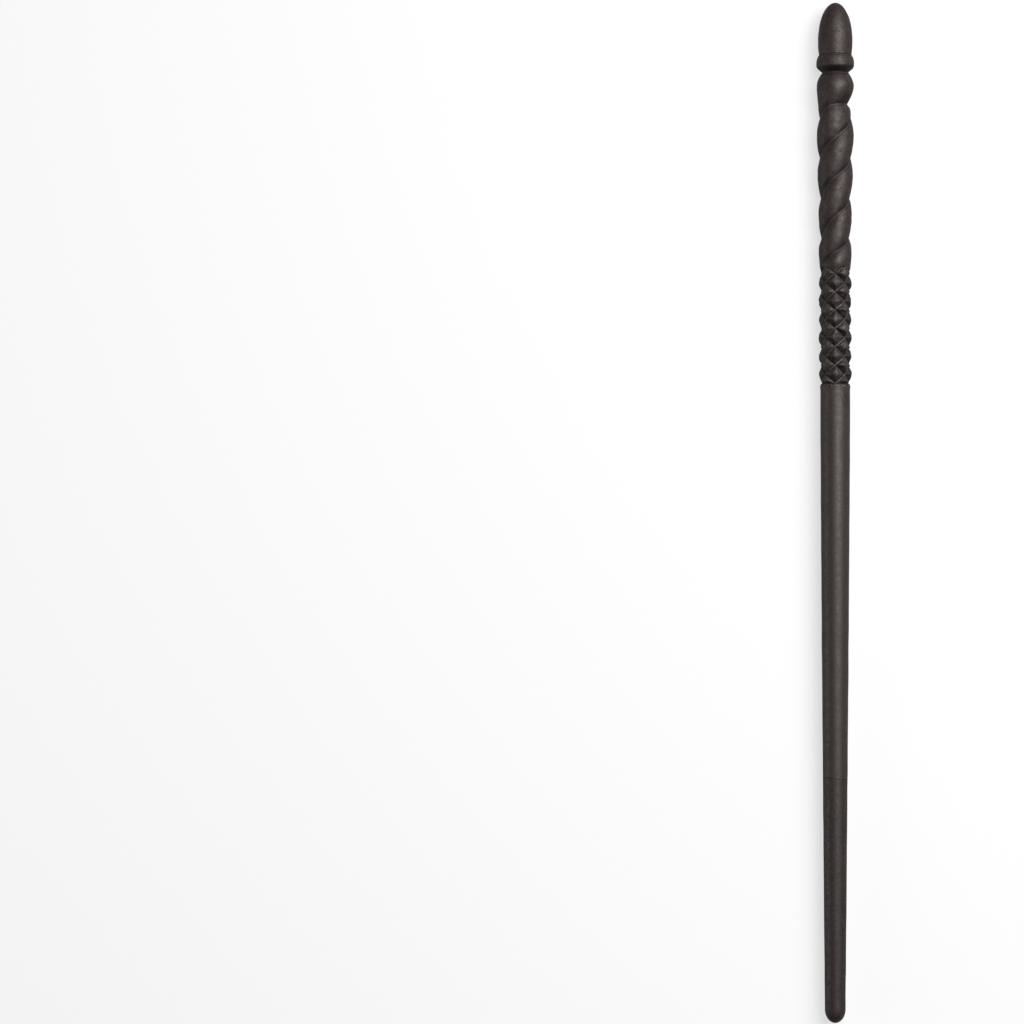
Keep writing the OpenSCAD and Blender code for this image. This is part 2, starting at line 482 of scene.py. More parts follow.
def start_group(name: str, inputs: dict[str, tuple[str, Any]],
                outputs: dict[str, str]) -> tuple[Wiring, bpy.types.Node, bpy.types.Node]:
    """Starts a shader node group.

    Args:
        name: The group's name.
        inputs: Kind and default value of each input, by name.
        outputs: Kind of each output, by name.

    Returns:
        The group's wiring, its input node and its output node.
    """
    tree = bpy.data.node_groups.new(name, "ShaderNodeTree")
    for key, (kind, value) in inputs.items():
        socket = tree.interface.new_socket(name=key, in_out="INPUT", socket_type=f"NodeSocket{kind}")
        if value is not None:
            socket.default_value = value
    for key, kind in outputs.items():
        tree.interface.new_socket(name=key, in_out="OUTPUT", socket_type=f"NodeSocket{kind}")
    wiring = Wiring(tree)
    return wiring, wiring.node("NodeGroupInput"), wiring.node("NodeGroupOutput")


@dataclass
class Effects:
    """Shader node groups that several finishes share, each made once."""

    made: dict[str, bpy.types.NodeTree] = field(default_factory=dict)

    def use(self, wiring: Wiring, name: str, **sockets: Any) -> bpy.types.Node:
        """Places a shared group in a material.

        Args:
            wiring: The material's wiring.
            name: Which effect, by its method's name.
            sockets: Values or sockets for the group's inputs.

        Returns:
            The group node.
        """
        if name not in self.made:
            self.made[name] = getattr(self, name)()
        group = wiring.node("ShaderNodeGroup", {"node_tree": self.made[name]})
        for key, value in sockets.items():
            socket = group.inputs[key.replace("_", " ").title()]
            if isinstance(value, bpy.types.NodeSocket):
                wiring.tree.links.new(value, socket)
            else:
                socket.default_value = value
        return group

    def mottle(self) -> bpy.types.NodeTree:
        """Soft blotches and finer marks, drawn out along the wand. Spans are in millimetres."""
        wiring, source, result = start_group(
            "mottle",
            {"Place": ("Vector", None), "Blotch Span": ("Float", 1.2), "Mark Span": ("Float", 0.35),
             "Stretch": ("Float", 1.6)},
            {"Blotches": "Float", "Marks": "Float"},
        )
        squeeze = wiring.math("DIVIDE", 1.0, source.outputs["Stretch"])
        shape = wiring.node("ShaderNodeCombineXYZ", X=1.0, Y=squeeze, Z=1.0).outputs[0]
        placed = wiring.node(
            "ShaderNodeVectorMath", {"operation": "MULTIPLY"}, i0=source.outputs["Place"], i1=shape
        ).outputs[0]
        for output, span, detail, low, high in (
            ("Blotches", "Blotch Span", 3.0, 0.32, 0.68), ("Marks", "Mark Span", 2.0, 0.36, 0.64),
        ):
            scale = wiring.math("DIVIDE", 1.0 / MM, source.outputs[span])
            noise = wiring.node("ShaderNodeTexNoise", Vector=placed, Scale=scale, Detail=detail,
                                Roughness=0.55)
            spreading = wiring.range(noise.outputs["Fac"], low, high)
            wiring.tree.links.new(spreading, result.inputs[output])
        return wiring.tree

    def specks(self) -> bpy.types.NodeTree:
        """Small scattered specks. Share is how much of the grid's cells hold one."""
        wiring, source, result = start_group(
            "specks",
            {"Place": ("Vector", None), "Spacing": ("Float", 1.5), "Share": ("Float", 0.3),
             "Radius": ("Float", 0.12)},
            {"Mask": "Float"},
        )
        scale = wiring.math("DIVIDE", 1.0 / MM, source.outputs["Spacing"])
        cells = wiring.node("ShaderNodeTexVoronoi", Vector=source.outputs["Place"], Scale=scale)
        draw = wiring.node("ShaderNodeSeparateColor", Color=cells.outputs["Color"])
        chosen = wiring.math("LESS_THAN", draw.outputs[0], source.outputs["Share"])
        reach = wiring.math("DIVIDE", source.outputs["Radius"], source.outputs["Spacing"])
        size = wiring.math("MULTIPLY", reach, wiring.math("ADD", 0.4, draw.outputs[1]))
        inside = wiring.math("DIVIDE", cells.outputs["Distance"], size)
        dot = wiring.range(inside, 0.5, 1.0, 1.0, 0.0)
        wiring.tree.links.new(wiring.math("MULTIPLY", dot, chosen), result.inputs["Mask"])
        return wiring.tree

    def grain(self) -> bpy.types.NodeTree:
        """The cast surface's fine relief: soft waves, pores and lengthwise scores."""
        wiring, source, result = start_group(
            "grain",
            {"Place": ("Vector", None), "Wave Span": ("Float", 0.9), "Pore Span": ("Float", 0.22),
             "Scores": ("Float", 0.2)},
            {"Height": "Float"},
        )
        place = source.outputs["Place"]
        waves = wiring.node("ShaderNodeTexNoise", Vector=place, Detail=2.0, Roughness=0.5,
                            Scale=wiring.math("DIVIDE", 1.0 / MM, source.outputs["Wave Span"]))
        pores = wiring.node("ShaderNodeTexNoise", Vector=place, Detail=1.0, Roughness=0.5,
                            Scale=wiring.math("DIVIDE", 1.0 / MM, source.outputs["Pore Span"]))
        drawn = wiring.node("ShaderNodeVectorMath", {"operation": "MULTIPLY"}, i0=place, i1=(1.0, 0.06, 1.0))
        scored = wiring.node("ShaderNodeTexNoise", Vector=drawn.outputs[0], Detail=2.0, Scale=3.5 / MM)
        marked = wiring.range(scored.outputs["Fac"], 0.56, 0.72)
        lines = wiring.math("MULTIPLY", marked, source.outputs["Scores"])
        relief = wiring.math("ADD", waves.outputs["Fac"], wiring.math("MULTIPLY", pores.outputs["Fac"], 0.5))
        wiring.tree.links.new(wiring.math("SUBTRACT", relief, lines), result.inputs["Height"])
        return wiring.tree

    def patina(self) -> bpy.types.NodeTree:
        """Body colour broken by blotches, darkened near-black by painted shade in the carving and along dark
        joints, and lightened by painted highlight and edge rubbing.
        """
        wiring, source, result = start_group(
            "patina",
            {"Body": ("Color", None), "Deep": ("Color", None), "Rubbed": ("Color", None),
             "Blotches": ("Float", 0.5), "Marks": ("Float", 0.5), "Depth": ("Float", 0.4),
             "Wash": ("Float", 0.0), "Wear": ("Float", 0.0), "Dust": ("Float", 0.0)},
            {"Color": "Color", "Darkening": "Float"},
        )
        out = source.outputs
        worn = wiring.math("ADD", wiring.math("MULTIPLY", out["Blotches"], 0.35),
                           wiring.math("MULTIPLY", out["Marks"], 0.65))
        shade = wiring.math("MULTIPLY", wiring.math("SUBTRACT", 1.0, worn), out["Depth"], clamp=True)
        ground = wiring.blend(shade, out["Body"], out["Deep"])
        bared = wiring.math("MULTIPLY", wiring.math("SUBTRACT", worn, 0.5), -0.5)
        broken = wiring.math("ADD", out["Wash"], bared)
        held = wiring.math("MULTIPLY", wiring.range(broken, 0.05, 0.8), wiring.range(out["Wash"], 0.0, 0.2))
        # Near-black painted shade in the carving, and the dark joints.
        washed_and_shaded = wiring.blend(held, ground, SHADE_AND_WASH_COLOUR)
        # Painted highlight and edge rubbing, in the lighter colour.
        rub = wiring.math("MULTIPLY", out["Wear"], wiring.math("ADD", 0.45, worn), clamp=True)
        rubbed = wiring.blend(rub, washed_and_shaded, out["Rubbed"])
        wiring.tree.links.new(wiring.blend(out["Dust"], rubbed, DUST_COLOUR), result.inputs["Color"])
        wiring.tree.links.new(held, result.inputs["Darkening"])
        return wiring.tree


@dataclass(frozen=True)
class ResinFinish:
    """Dark cast resin: a mottled body colour, painted shade in the carving with dark joints, and painted
    highlight with edge rubbing.
    """

    name: str
    body: tuple[float, float, float]
    deep: tuple[float, float, float]
    rubbed: tuple[float, float, float]
    roughness: float
    mottling: float = 0.95
    shine: float = 0.42
    shine_tint: tuple[float, float, float] = (1.0, 0.92, 0.905)
    stretch: float = 1.15
    relief: float = 0.034
    scores: float = 0.0
    dust_share: float = 0.14
    dust_cover: float = 0.6
    shine_spread: float = 0.1
    darkening_dulls: float = 0.06
    pit_depth: float = 0.8

    def material(self, effects: Effects) -> bpy.types.Material:
        """Makes the material.

        Args:
            effects: The shared node groups.

        Returns:
            The resin as a node material.
        """
        made = bpy.data.materials.new(self.name)
        made.use_nodes = True
        made.node_tree.nodes.clear()
        wiring = Wiring(made.node_tree)
        place = wiring.node("ShaderNodeTexCoord").outputs["Object"]
        # Masks of painted shade and painted highlight, read from the pieces' points.
        masks = [wiring.node("ShaderNodeAttribute", {"attribute_name": name}).outputs["Fac"]
                 for name in ("wash", "wear")]
        mottle = effects.use(wiring, "mottle", place=place, blotch_span=1.5, mark_span=0.34,
                             stretch=self.stretch)
        dust = effects.use(wiring, "specks", place=place, spacing=1.1, share=self.dust_share, radius=0.09)
        pits = effects.use(wiring, "specks", place=place, spacing=1.4, share=0.35, radius=0.15)
        grain = effects.use(wiring, "grain", place=place, wave_span=0.6, pore_span=0.2, scores=self.scores)
        paint = effects.use(
            wiring, "patina", body=(*self.body, 1.0), deep=(*self.deep, 1.0), rubbed=(*self.rubbed, 1.0),
            blotches=mottle.outputs["Blotches"], marks=mottle.outputs["Marks"], depth=self.mottling,
            wash=masks[0], wear=masks[1],
            dust=wiring.math("MULTIPLY", dust.outputs["Mask"], self.dust_cover),
        )
        worn = wiring.math("ADD", mottle.outputs["Blotches"], mottle.outputs["Marks"])
        uneven = wiring.math("MULTIPLY", wiring.math("SUBTRACT", worn, 1.0), -self.shine_spread)
        dull = wiring.math("MULTIPLY", paint.outputs["Darkening"], self.darkening_dulls)
        rough = wiring.math("ADD", wiring.math("ADD", uneven, self.roughness), dull, clamp=True)
        height = wiring.math("SUBTRACT", grain.outputs["Height"],
                             wiring.math("MULTIPLY", pits.outputs["Mask"], self.pit_depth))
        bump = wiring.node("ShaderNodeBump", Strength=1.0, Distance=self.relief * MM, Height=height)
        shader = wiring.node(
            "ShaderNodeBsdfPrincipled", Base_Color=paint.outputs["Color"], Roughness=rough,
            Normal=bump.outputs["Normal"], Specular_IOR_Level=self.shine,
            Specular_Tint=(*self.shine_tint, 1.0),
        )
        wiring.node("ShaderNodeOutputMaterial", Surface=shader.outputs[0])
        return made


@dataclass(frozen=True)
class SteelFinish:
    """Drawn steel rod with fine lengthwise lines."""

    name: str = "drawn_steel"
    colour: tuple[float, float, float] = (0.55, 0.56, 0.58)
    dull: tuple[float, float, float] = (0.4, 0.4, 0.41)
    roughness: float = 0.28
    roughness_spread: float = 0.15
    relief: float = 0.01

    def material(self, effects: Effects) -> bpy.types.Material:
        """Makes the material.

        Args:
            effects: The shared node groups.

        Returns:
            The steel as a node material.
        """
        made = bpy.data.materials.new(self.name)
        made.use_nodes = True
        made.node_tree.nodes.clear()
        wiring = Wiring(made.node_tree)
        place = wiring.node("ShaderNodeTexCoord").outputs["Object"]
        mottle = effects.use(wiring, "mottle", place=place, blotch_span=2.0, mark_span=0.2, stretch=14.0)
        colour = wiring.blend(mottle.outputs["Marks"], (*self.colour, 1.0), (*self.dull, 1.0))
        spread_out = wiring.math("MULTIPLY", mottle.outputs["Blotches"], self.roughness_spread)
        rough = wiring.math("ADD", self.roughness, spread_out)
        grain = effects.use(wiring, "grain", place=place, wave_span=0.5, pore_span=0.12, scores=0.8)
        bump = wiring.node("ShaderNodeBump", Strength=1.0, Distance=self.relief * MM,
                           Height=grain.outputs["Height"])
        shader = wiring.node("ShaderNodeBsdfPrincipled", Base_Color=colour, Roughness=rough, Metallic=1.0,
                             Normal=bump.outputs["Normal"])
        wiring.node("ShaderNodeOutputMaterial", Surface=shader.outputs[0])
        return made


# ---------------------------------------------------------------------------------------------- pieces


@dataclass
class Workshop:
    """What every piece is made with."""

    layout: Layout
    finishes: dict[Slot, bpy.types.Material]
    mould: MouldLine = MouldLine()
    # Painted shade and highlight laid by slope over the carved pieces.
    brush: PaintedSlopeShade = PaintedSlopeShade()
    glue_gap: float = 0.05
    tenon_radius: float = 3.4

    def deliver(self, skin: Skin, node: str, slot: Slot) -> bpy.types.Object:
        """Makes a piece from its skin, and puts it in the place of its CAD node.

        Args:
            skin: The finished skin.
            node: The CAD node that the piece stands for.
            slot: The material slot that it takes its finish from.

        Returns:
            The piece.
        """
        piece = skin.make(f"{node}_carved")
        piece.data.materials.append(self.finishes[slot])
        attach(piece, "root")
        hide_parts(node)
        LOG.info("%s: %d faces", piece.name, len(piece.data.polygons))
        return piece

    @property
    def socket_radius(self) -> float:
        """Radius of the holes that take the tenons."""
        return self.tenon_radius + self.glue_gap

    @property
    def bore_radius(self) -> float:
        """Radius of the hole for the core rod."""
        return self.layout.rod_radius + self.glue_gap


@dataclass
class Pommel:
    """The bullet-shaped nose with its tenon, and the round collar threaded on it."""

    shop: Workshop
    crest_share: float = 0.71
    foot_radius: float = 5.85
    neck_radius: float = 4.72
    collar_crest: float = 3.0
    collar_span: float = 3.2
    collar_shoulder: float = 5.36
    undercut: float = 1.8
    seam_least: float = 0.25
    seam_front: float = 22.0
    seam_rows: tuple[float, ...] = (0.06, 0.12, 0.2)
    lip: Lip = Lip(height=0.06, crest=0.2, width=0.1, score=0.054, score_at=0.5, score_width=0.14)
    even: np.ndarray = field(default_factory=lambda: np.arange(0.0, HALF_TURN, 2.5))
    waver: HandWork = HandWork(seed=3, span=2.6, depth=0.055)
    hand: HandWork = HandWork(seed=5, span=4.5, depth=0.03)
    ripple: HandWork = HandWork(seed=6, span=1.3, depth=0.008)

    def __post_init__(self) -> None:
        """Sets the columns of points round the pommel."""
        half = self.shop.mould.columns(self.even)
        self.columns = np.concatenate([half, half + HALF_TURN])

    def seam(self, degrees: np.ndarray) -> np.ndarray:
        """Station of the wavy line between nose and collar."""
        foot = self.shop.layout.nose_foot
        return foot + self.waver.at(foot, self.foot_radius, degrees)

    def seam_clear(self, degrees: np.ndarray) -> np.ndarray:
        """How clearly the line between nose and collar shows, which is sharpest right of the top."""
        return mix(self.seam_least, 1.0, ease(0.5 + 0.9 * cosine(degrees - self.seam_front)))

    @staticmethod
    def seam_depth(clear: np.ndarray) -> np.ndarray:
        """How deep the line is cut where it shows this clearly."""
        return 0.03 + 0.07 * clear

    def rough(self, stations: np.ndarray, radii: np.ndarray, degrees: np.ndarray) -> np.ndarray:
        """Unevenness of the pommel's surface."""
        return self.hand.at(stations, radii, degrees) + self.ripple.at(stations, radii, degrees)

    def nose_profile(self, stations: np.ndarray) -> np.ndarray:
        """Radius of the nose at each station."""
        layout = self.shop.layout
        crest = layout.nose_foot * self.crest_share
        rounded = layout.nose_radius * np.sqrt(limit(1.0 - (1.0 - stations / crest) ** 2))
        past = limit((stations - crest) / (layout.nose_foot - crest))
        closing = mix(layout.nose_radius, self.foot_radius, past ** 2)
        return np.where(stations < crest, rounded, closing)

    def collar_profile(self, down: np.ndarray) -> np.ndarray:
        """Radius of the collar at distances below the seam: a round crest, then an undercut to the neck."""
        layout = self.shop.layout
        width = layout.neck - layout.nose_foot
        off = down - self.collar_crest
        rise = layout.collar_radius - self.collar_shoulder
        upper = self.collar_shoulder + rise * np.sqrt(limit(1.0 - (off / self.collar_span) ** 2))
        share = limit(off / (width - self.collar_crest))
        height = (1.0 + np.cos(np.pi * share ** self.undercut)) / 2.0
        lower = mix(self.neck_radius, layout.collar_radius, height)
        return np.where(off < 0.0, upper, lower)

    def nose(self) -> bpy.types.Object:
        """Builds the nose, with its tenon and its blind hole for the core rod."""
        shop, layout = self.shop, self.shop.layout
        skin, angles = Skin(layout), self.columns
        turn = np.linspace(0.0, math.pi / 2, 96)[1:]
        level = layout.nose_foot * (1.0 - np.cos(turn))
        level = np.sort(np.concatenate([level, layout.nose_foot - np.array(self.seam_rows)]))
        near = ease(level[:, None] / layout.nose_foot * 4 - 3)
        stations = level[:, None] + (self.seam(angles) - layout.nose_foot) * near
        radii = self.nose_profile(level)[:, None] + 0.0 * angles
        cover = ease(level[:, None] / 3.0)
        radii = radii + cover * self.rough(stations, radii, angles)
        radii = radii + cover * shop.mould.at(stations, radii, angles)
        edge = self.seam(angles) - stations
        clear = self.seam_clear(angles)
        radii = radii - self.seam_depth(clear) * bell(edge, 0.1)
        outer = skin.add(stations, radii, angles, wash=(0.25 + 0.65 * clear) * bell(edge, 0.16))
        skin.close(outer[0], 0.0, below=False)
        skin.cover(outer)
        shape = [(layout.nose_foot, shop.tenon_radius), (layout.tenon_end, shop.tenon_radius),
                 (layout.tenon_end, shop.bore_radius), (layout.rod_top - shop.glue_gap, shop.bore_radius)]
        inner = [skin.add(station, radius, angles) for station, radius in shape]
        skin.join(outer[-1], *inner)
        skin.close(inner[-1], layout.rod_top - shop.glue_gap, below=True)
        return shop.deliver(skin, "pommel_nose", Slot.HANDLE)

    def collar(self) -> bpy.types.Object:
        """Builds the collar, with the thin raised lip that the carver left under the seam."""
        shop, layout = self.shop, self.shop.layout
        skin, angles = Skin(layout), self.columns
        width = layout.neck - layout.nose_foot
        down = spread((0.0, 1.0, 0.07), (1.0, width - 0.8, 0.14), (width - 0.8, width, 0.08))[:, None]
        stations = layout.nose_foot + down + (self.seam(angles) - layout.nose_foot) * ease(1.0 - down / 2.5)
        radii = self.collar_profile(down) + 0.0 * angles
        clear = self.seam_clear(angles)
        radii = radii + clear * self.lip.at(down) - self.seam_depth(clear) * bell(down, 0.08)
        cover = ease(down / 0.6) * ease((width - down) / 1.2)
        radii = radii + cover * self.rough(stations, radii, angles)
        radii = radii + cover * shop.mould.at(stations, radii, angles)
        # Painted shade: near-black in the undercut under the crest and dark in the scored line under the lip;
        # the dark line along the seam is the joint's own. Painted highlight on the lip's crest.
        undercut_shade = ease((down - self.collar_crest - 0.2) / 1.9)
        wash = (0.25 + 0.6 * clear) * bell(down, 0.11) + 0.95 * undercut_shade
        wash = wash + 0.7 * clear * bell(down - self.lip.score_at, 0.15)
        outer = skin.add(stations, radii, angles, wash=wash, wear=0.5 * clear * bell(down - 0.22, 0.11))
        skin.cover(outer)
        inner = [skin.add(station, shop.socket_radius, angles) for station in (layout.neck, layout.nose_foot)]
        skin.join(outer[-1], *inner, outer[0])
        return shop.deliver(skin, "pommel_collar", Slot.HANDLE)

    def build(self) -> list[bpy.types.Object]:
        """Builds the pommel's two pieces."""
        return [self.nose(), self.collar()]


@dataclass
class Carving:
    """Sizes that the grip and the stud band share, and the zigzag line where they meet."""

    layout: Layout
    ring_below_neck: float = 11.2
    first_strand: float = 12.4
    pitch: float = 14.4
    stud_pitch: float = 6.6
    stud_rows: int = 6
    stud_radius: float = 5.86
    groove_radius: float = 4.76
    arm_reach: float = 2.4
    arm_slope: float = 1.6
    arm_lean: float = 0.5
    arm_share: float = 0.3
    arm_share_lean: float = 0.15
    arm_ease: float = 0.5

    @property
    def ring(self) -> float:
        """Station of the ring groove under the ball."""
        return self.layout.neck + self.ring_below_neck

    @property
    def cross(self) -> float:
        """Station where the first stud grooves cross on top of the wand."""
        return self.layout.band_end - self.stud_rows * self.stud_pitch

    def off_cross(self, degrees: np.ndarray) -> np.ndarray:
        """How far an angle is from the nearest crossing of the first row, where a stud's middle is 1."""
        return np.abs((degrees + EIGHTH_TURN) % (2 * EIGHTH_TURN) - EIGHTH_TURN) / EIGHTH_TURN

    def side(self, degrees: np.ndarray) -> np.ndarray:
        """1 on a crossing's arm of rising angle, and -1 on its other arm, which is shorter."""
        return cosine(4.0 * degrees - 90.0)

    def border(self, degrees: np.ndarray) -> np.ndarray:
        """Station of the line where the twist ends and the studs begin."""
        reach = self.arm_reach + self.arm_lean * self.side(degrees)
        return self.cross - np.minimum(self.off_cross(degrees) * self.stud_pitch / 2, reach)

    def arm(self, degrees: np.ndarray) -> np.ndarray:
        """1 where the border runs in a groove's arm, and 0 where the twist flows into a stud."""
        start = self.arm_share + self.arm_share_lean * self.side(degrees)
        return 1.0 - ease((self.off_cross(degrees) - start) / self.arm_ease)


@dataclass
class TwistGrip:
    """The ball and the two-strand twist, carved as one piece with a socket at each end.

    The twist is worked out at an even pitch, and its last turn is then drawn together towards the studs: an
    even station is a place's station before that.
    """

    shop: Workshop
    carving: Carving
    neck_radius: float = 4.72
    ball_radius: float = 6.64
    ball_rise: float = 4.7
    strand_radius: float = 6.62
    strand_fall: float = 0.72
    fall_start: float = 46.0
    fall_length: float = 38.0
    strand_depth: float = 1.2
    ring_depth: float = 1.38
    ring_bend: float = 28.0
    crest: float = 0.42
    flow: float = 1.6
    fade_angle: float = 60.0
    slant: float = 0.77
    draw_start: float = 84.0
    draw_share: float = 0.25
    draw_onset: float = 3.0
    last_groove: float = 92.5
    groove_fade: float = 3.2
    end_fall: float = 0.9
    end_start: float = 93.5
    end_length: float = 4.5
    column_step: float = 2.5
    shade: float = 1.6
    ball_shade: float = 1.8
    fading_shade: float = 1.5
    wedge_start: float = 4.0
    side_drop: float = 0.2
    lean: float = 0.5
    lean_start: float = 50.0
    lean_length: float = 36.0
    bend_width: float = 5.0
    seam_slack: float = 0.04
    strand_lip: Lip = Lip(height=0.085, crest=0.2, width=0.1, score=0.068, score_at=0.46, score_width=0.13)
    neck_lip: Lip = Lip(height=0.07, crest=0.22, width=0.13, score=0.05, score_at=0.52, score_width=0.16)
    hand: HandWork = HandWork(seed=21, span=4.2, depth=0.035)
    ripple: HandWork = HandWork(seed=22, span=1.2, depth=0.009)
    lip_break: HandWork = HandWork(seed=23, span=2.6, depth=0.28)

    def __post_init__(self) -> None:
        """Works out where the strands start, and the columns of points."""
        self.meet = HALF_TURN * self.carving.first_strand / self.carving.pitch
        self.ring_start = self.meet - HALF_TURN
        even = self.ring_start + np.arange(0.0, HALF_TURN, self.column_step)
        self.half = self.shop.mould.columns(even)
        self.columns = np.concatenate([self.half, self.half + HALF_TURN])

    def drawn(self, even: np.ndarray) -> np.ndarray:
        """Station of each even station, once the last turn is drawn together."""
        past = np.maximum(even - self.draw_start, 0.0)
        return even - self.draw_share * past ** 2 / (past + self.draw_onset)

    def undrawn(self, stations: np.ndarray) -> np.ndarray:
        """Even station of each station."""
        past = np.maximum(stations - self.draw_start, 0.0)
        half = (past - self.draw_onset) / 2.0
        root = np.sqrt(half ** 2 + (1.0 - self.draw_share) * self.draw_onset * past)
        return np.where(past > 0.0, self.draw_start + (half + root) / (1.0 - self.draw_share), stations)

    def top(self, stations: np.ndarray) -> np.ndarray:
        """Radius of the strands' crests."""
        slimming = self.strand_fall * ease((stations - self.fall_start) / self.fall_length)
        ending = self.end_fall * ease((stations - self.end_start) / self.end_length)
        return self.strand_radius - slimming - ending

    def lobe(self, share: np.ndarray) -> np.ndarray:
        """A strand's cross-section: 0 in its grooves, 1 at its crest."""
        side = np.where(share < self.crest, self.crest, 1.0 - self.crest)
        return 1.0 - np.abs((share - self.crest) / side) ** 2.1

    def groove(self, degrees: np.ndarray) -> np.ndarray:
        """Even station of the strand groove that starts at the ring groove behind the wand."""
        return self.carving.ring + self.carving.pitch * (self.meet - degrees) / HALF_TURN

    def ball(self, stations: np.ndarray, end: np.ndarray, floor: np.ndarray) -> np.ndarray:
        """Radius of the ball, from the neck to the groove that ends it."""
        widest = self.shop.layout.neck + self.ball_rise
        below = np.minimum(stations - widest, 0.0) / self.ball_rise
        rising = mix(self.neck_radius, self.ball_radius, limit(1.0 - below ** 2))
        share = limit((stations - widest) / (end - widest))
        long = limit((end - self.carving.ring) / self.ball_rise)
        fall = mix(1.0 - np.cos(np.pi / 2.0 * share), share ** self.flow, long)
        return np.where(stations < widest, rising, self.ball_radius - (self.ball_radius - floor) * fall)

    def lip(self, down: np.ndarray, stations: np.ndarray, degrees: np.ndarray) -> np.ndarray:
        """Raised lip and the thin scored line under it, at a distance below a strand's groove."""
        strength = limit(1.0 + self.lip_break.at(stations, 5.0, degrees))
        return strength * self.strand_lip.at(down)

    def surface(self, even: np.ndarray, degrees: np.ndarray) -> Marked:
        """Shapes the carved surface.

        Args:
            even: Even stations of the places.
            degrees: Their angles.

        Returns:
            The radius, the painted shade and the painted highlight at each place.
        """
        angle = degrees - WHOLE_TURN * np.floor((degrees - self.ring_start) / WHOLE_TURN)
        cut = self.groove(angle)
        strand = self.strand(even, degrees, cut)
        front = self.front(even, angle, cut, strand)
        back = self.back(even, angle, cut, strand)
        radii, wash, wear = (np.where(angle <= self.meet, *sides) for sides in zip(front, back))
        return self.finish_ends(self.drawn(even), degrees, radii, wash, wear)

    def strand(self, even: np.ndarray, degrees: np.ndarray, cut: np.ndarray) -> Marked:
        """Shapes the strands, whose grooves follow each other one pitch apart from the station `cut`."""
        pitch, stations = self.carving.pitch, self.drawn(even)
        hold = 1.0 - ease((stations - self.last_groove) / self.groove_fade)
        turns = (even - cut) / pitch
        share = turns - np.floor(turns)
        under = self.slant * pitch * share
        over = self.slant * pitch * (1.0 - share)
        carved = self.strand_depth * (1.0 - self.lobe(share)) - self.lip(under, even, degrees)
        wash, wear = self.marks(over, under)
        return self.top(stations) - hold * carved, hold * wash, hold * wear

    def front(self, even: np.ndarray, angle: np.ndarray, cut: np.ndarray, strand: Marked) -> Marked:
        """Shapes the side where the ring groove closes the ball and the first strand starts as a wedge."""
        ring = self.carving.ring
        low = self.top(self.drawn(even)) - self.strand_depth
        sunk = self.ring_depth * np.maximum(0.0, sine(angle - self.ring_start))
        width = np.maximum(cut - ring, 0.01)
        share = limit((even - ring) / width)
        started = limit(width / self.wedge_start)
        swell = self.strand_depth * np.sqrt(width / self.carving.pitch)
        radii = mix(low - sunk, low, share) + swell * self.lobe(share)
        radii = radii + started * self.lip(even - ring, even, angle)
        wash, wear = self.marks(self.slant * (cut - even), even - ring)
        # Painted shade on the ball's underside above the ring groove.
        shaded = bell(ring - even, self.ball_shade) * (0.6 + 0.4 * sunk / self.ring_depth)
        ball = self.ball(even, ring, low - sunk), shaded, 0.0
        wedge = radii, wash, wear * started
        return tuple(np.where(even < ring, above, np.where(even < cut, between, below))
                     for above, between, below in zip(ball, wedge, strand))

    def back(self, even: np.ndarray, angle: np.ndarray, cut: np.ndarray, strand: Marked) -> Marked:
        """Shapes the side where the ball flows into a strand and the first groove fades out."""
        low = self.top(self.drawn(even)) - self.strand_depth
        radii, wash, wear = strand
        fade = (1.0 + cosine(HALF_TURN * limit((angle - self.meet) / self.fade_angle))) / 2.0
        widest = self.shop.layout.neck + self.ball_rise
        closed = np.where(even < cut, self.ball(even, np.maximum(cut, widest + 0.5), low), radii)
        following = cut + self.carving.pitch
        flowing = even < following
        whole = np.where(flowing, self.ball(even, following, low), radii)
        # Painted shade above the groove where the ball flows into the strand, and where the first groove
        # fades out.
        near_ring = bell(self.slant * (following - even), self.shade)
        fading = bell(self.slant * (cut - even), self.fading_shade)
        flow_shade = np.maximum(0.9 * near_ring, fading * fade)
        return mix(whole, closed, fade), np.where(flowing, flow_shade, wash), np.where(flowing, 0.0, wear)

    def finish_ends(self, stations: np.ndarray, degrees: np.ndarray, radii: np.ndarray, wash: np.ndarray,
                    wear: np.ndarray) -> Marked:
        """Adds the lip under the collar's neck, and cuts the first studs' groove into the twist, with painted
        shade under the neck and in the groove's arms and a painted highlight on the lip.
        """
        carving, lip = self.carving, self.neck_lip
        neck = stations - self.shop.layout.neck
        kept = limit(0.6 + self.lip_break.at(stations, 4.7, degrees))
        radii = radii + lip.at(neck, kept)
        # Painted shade in the lip's scored line and under the collar's neck, painted highlight on the lip's
        # crest.
        wash = wash + 0.7 * bell(neck - lip.score_at, 0.17) + 0.4 * bell(neck - 0.9, 0.7)
        wear = wear + 0.65 * kept * bell(neck - lip.crest, 0.12)
        above = np.maximum(carving.border(degrees) - stations, 0.0)
        arm = carving.arm(degrees)
        meet = mix(np.maximum(radii, carving.groove_radius), carving.groove_radius, arm)
        radii = np.minimum(radii, meet + (carving.arm_slope + 3.0 * (1.0 - arm)) * above)
        # Painted shade in the groove's arms.
        wash = np.maximum(wash, 0.8 * arm * bell(above, 0.35))
        wear = wear * limit(above / 0.6)
        return radii, wash, wear

    def marks(self, over: np.ndarray, under: np.ndarray) -> tuple[np.ndarray, np.ndarray]:
        """Painted shade and painted highlight by a groove: shade on the flank above it and in the scored line
        under its lip, highlight on the lip's crest.

        Args:
            over: Distance above the next groove.
            under: Distance below the last one.

        Returns:
            The painted shade and the painted highlight.
        """
        wash = np.maximum(bell(over, self.shade), 0.8 * bell(under - 0.48, 0.16))
        return wash, 0.7 * bell(under - self.strand_lip.crest, 0.11)

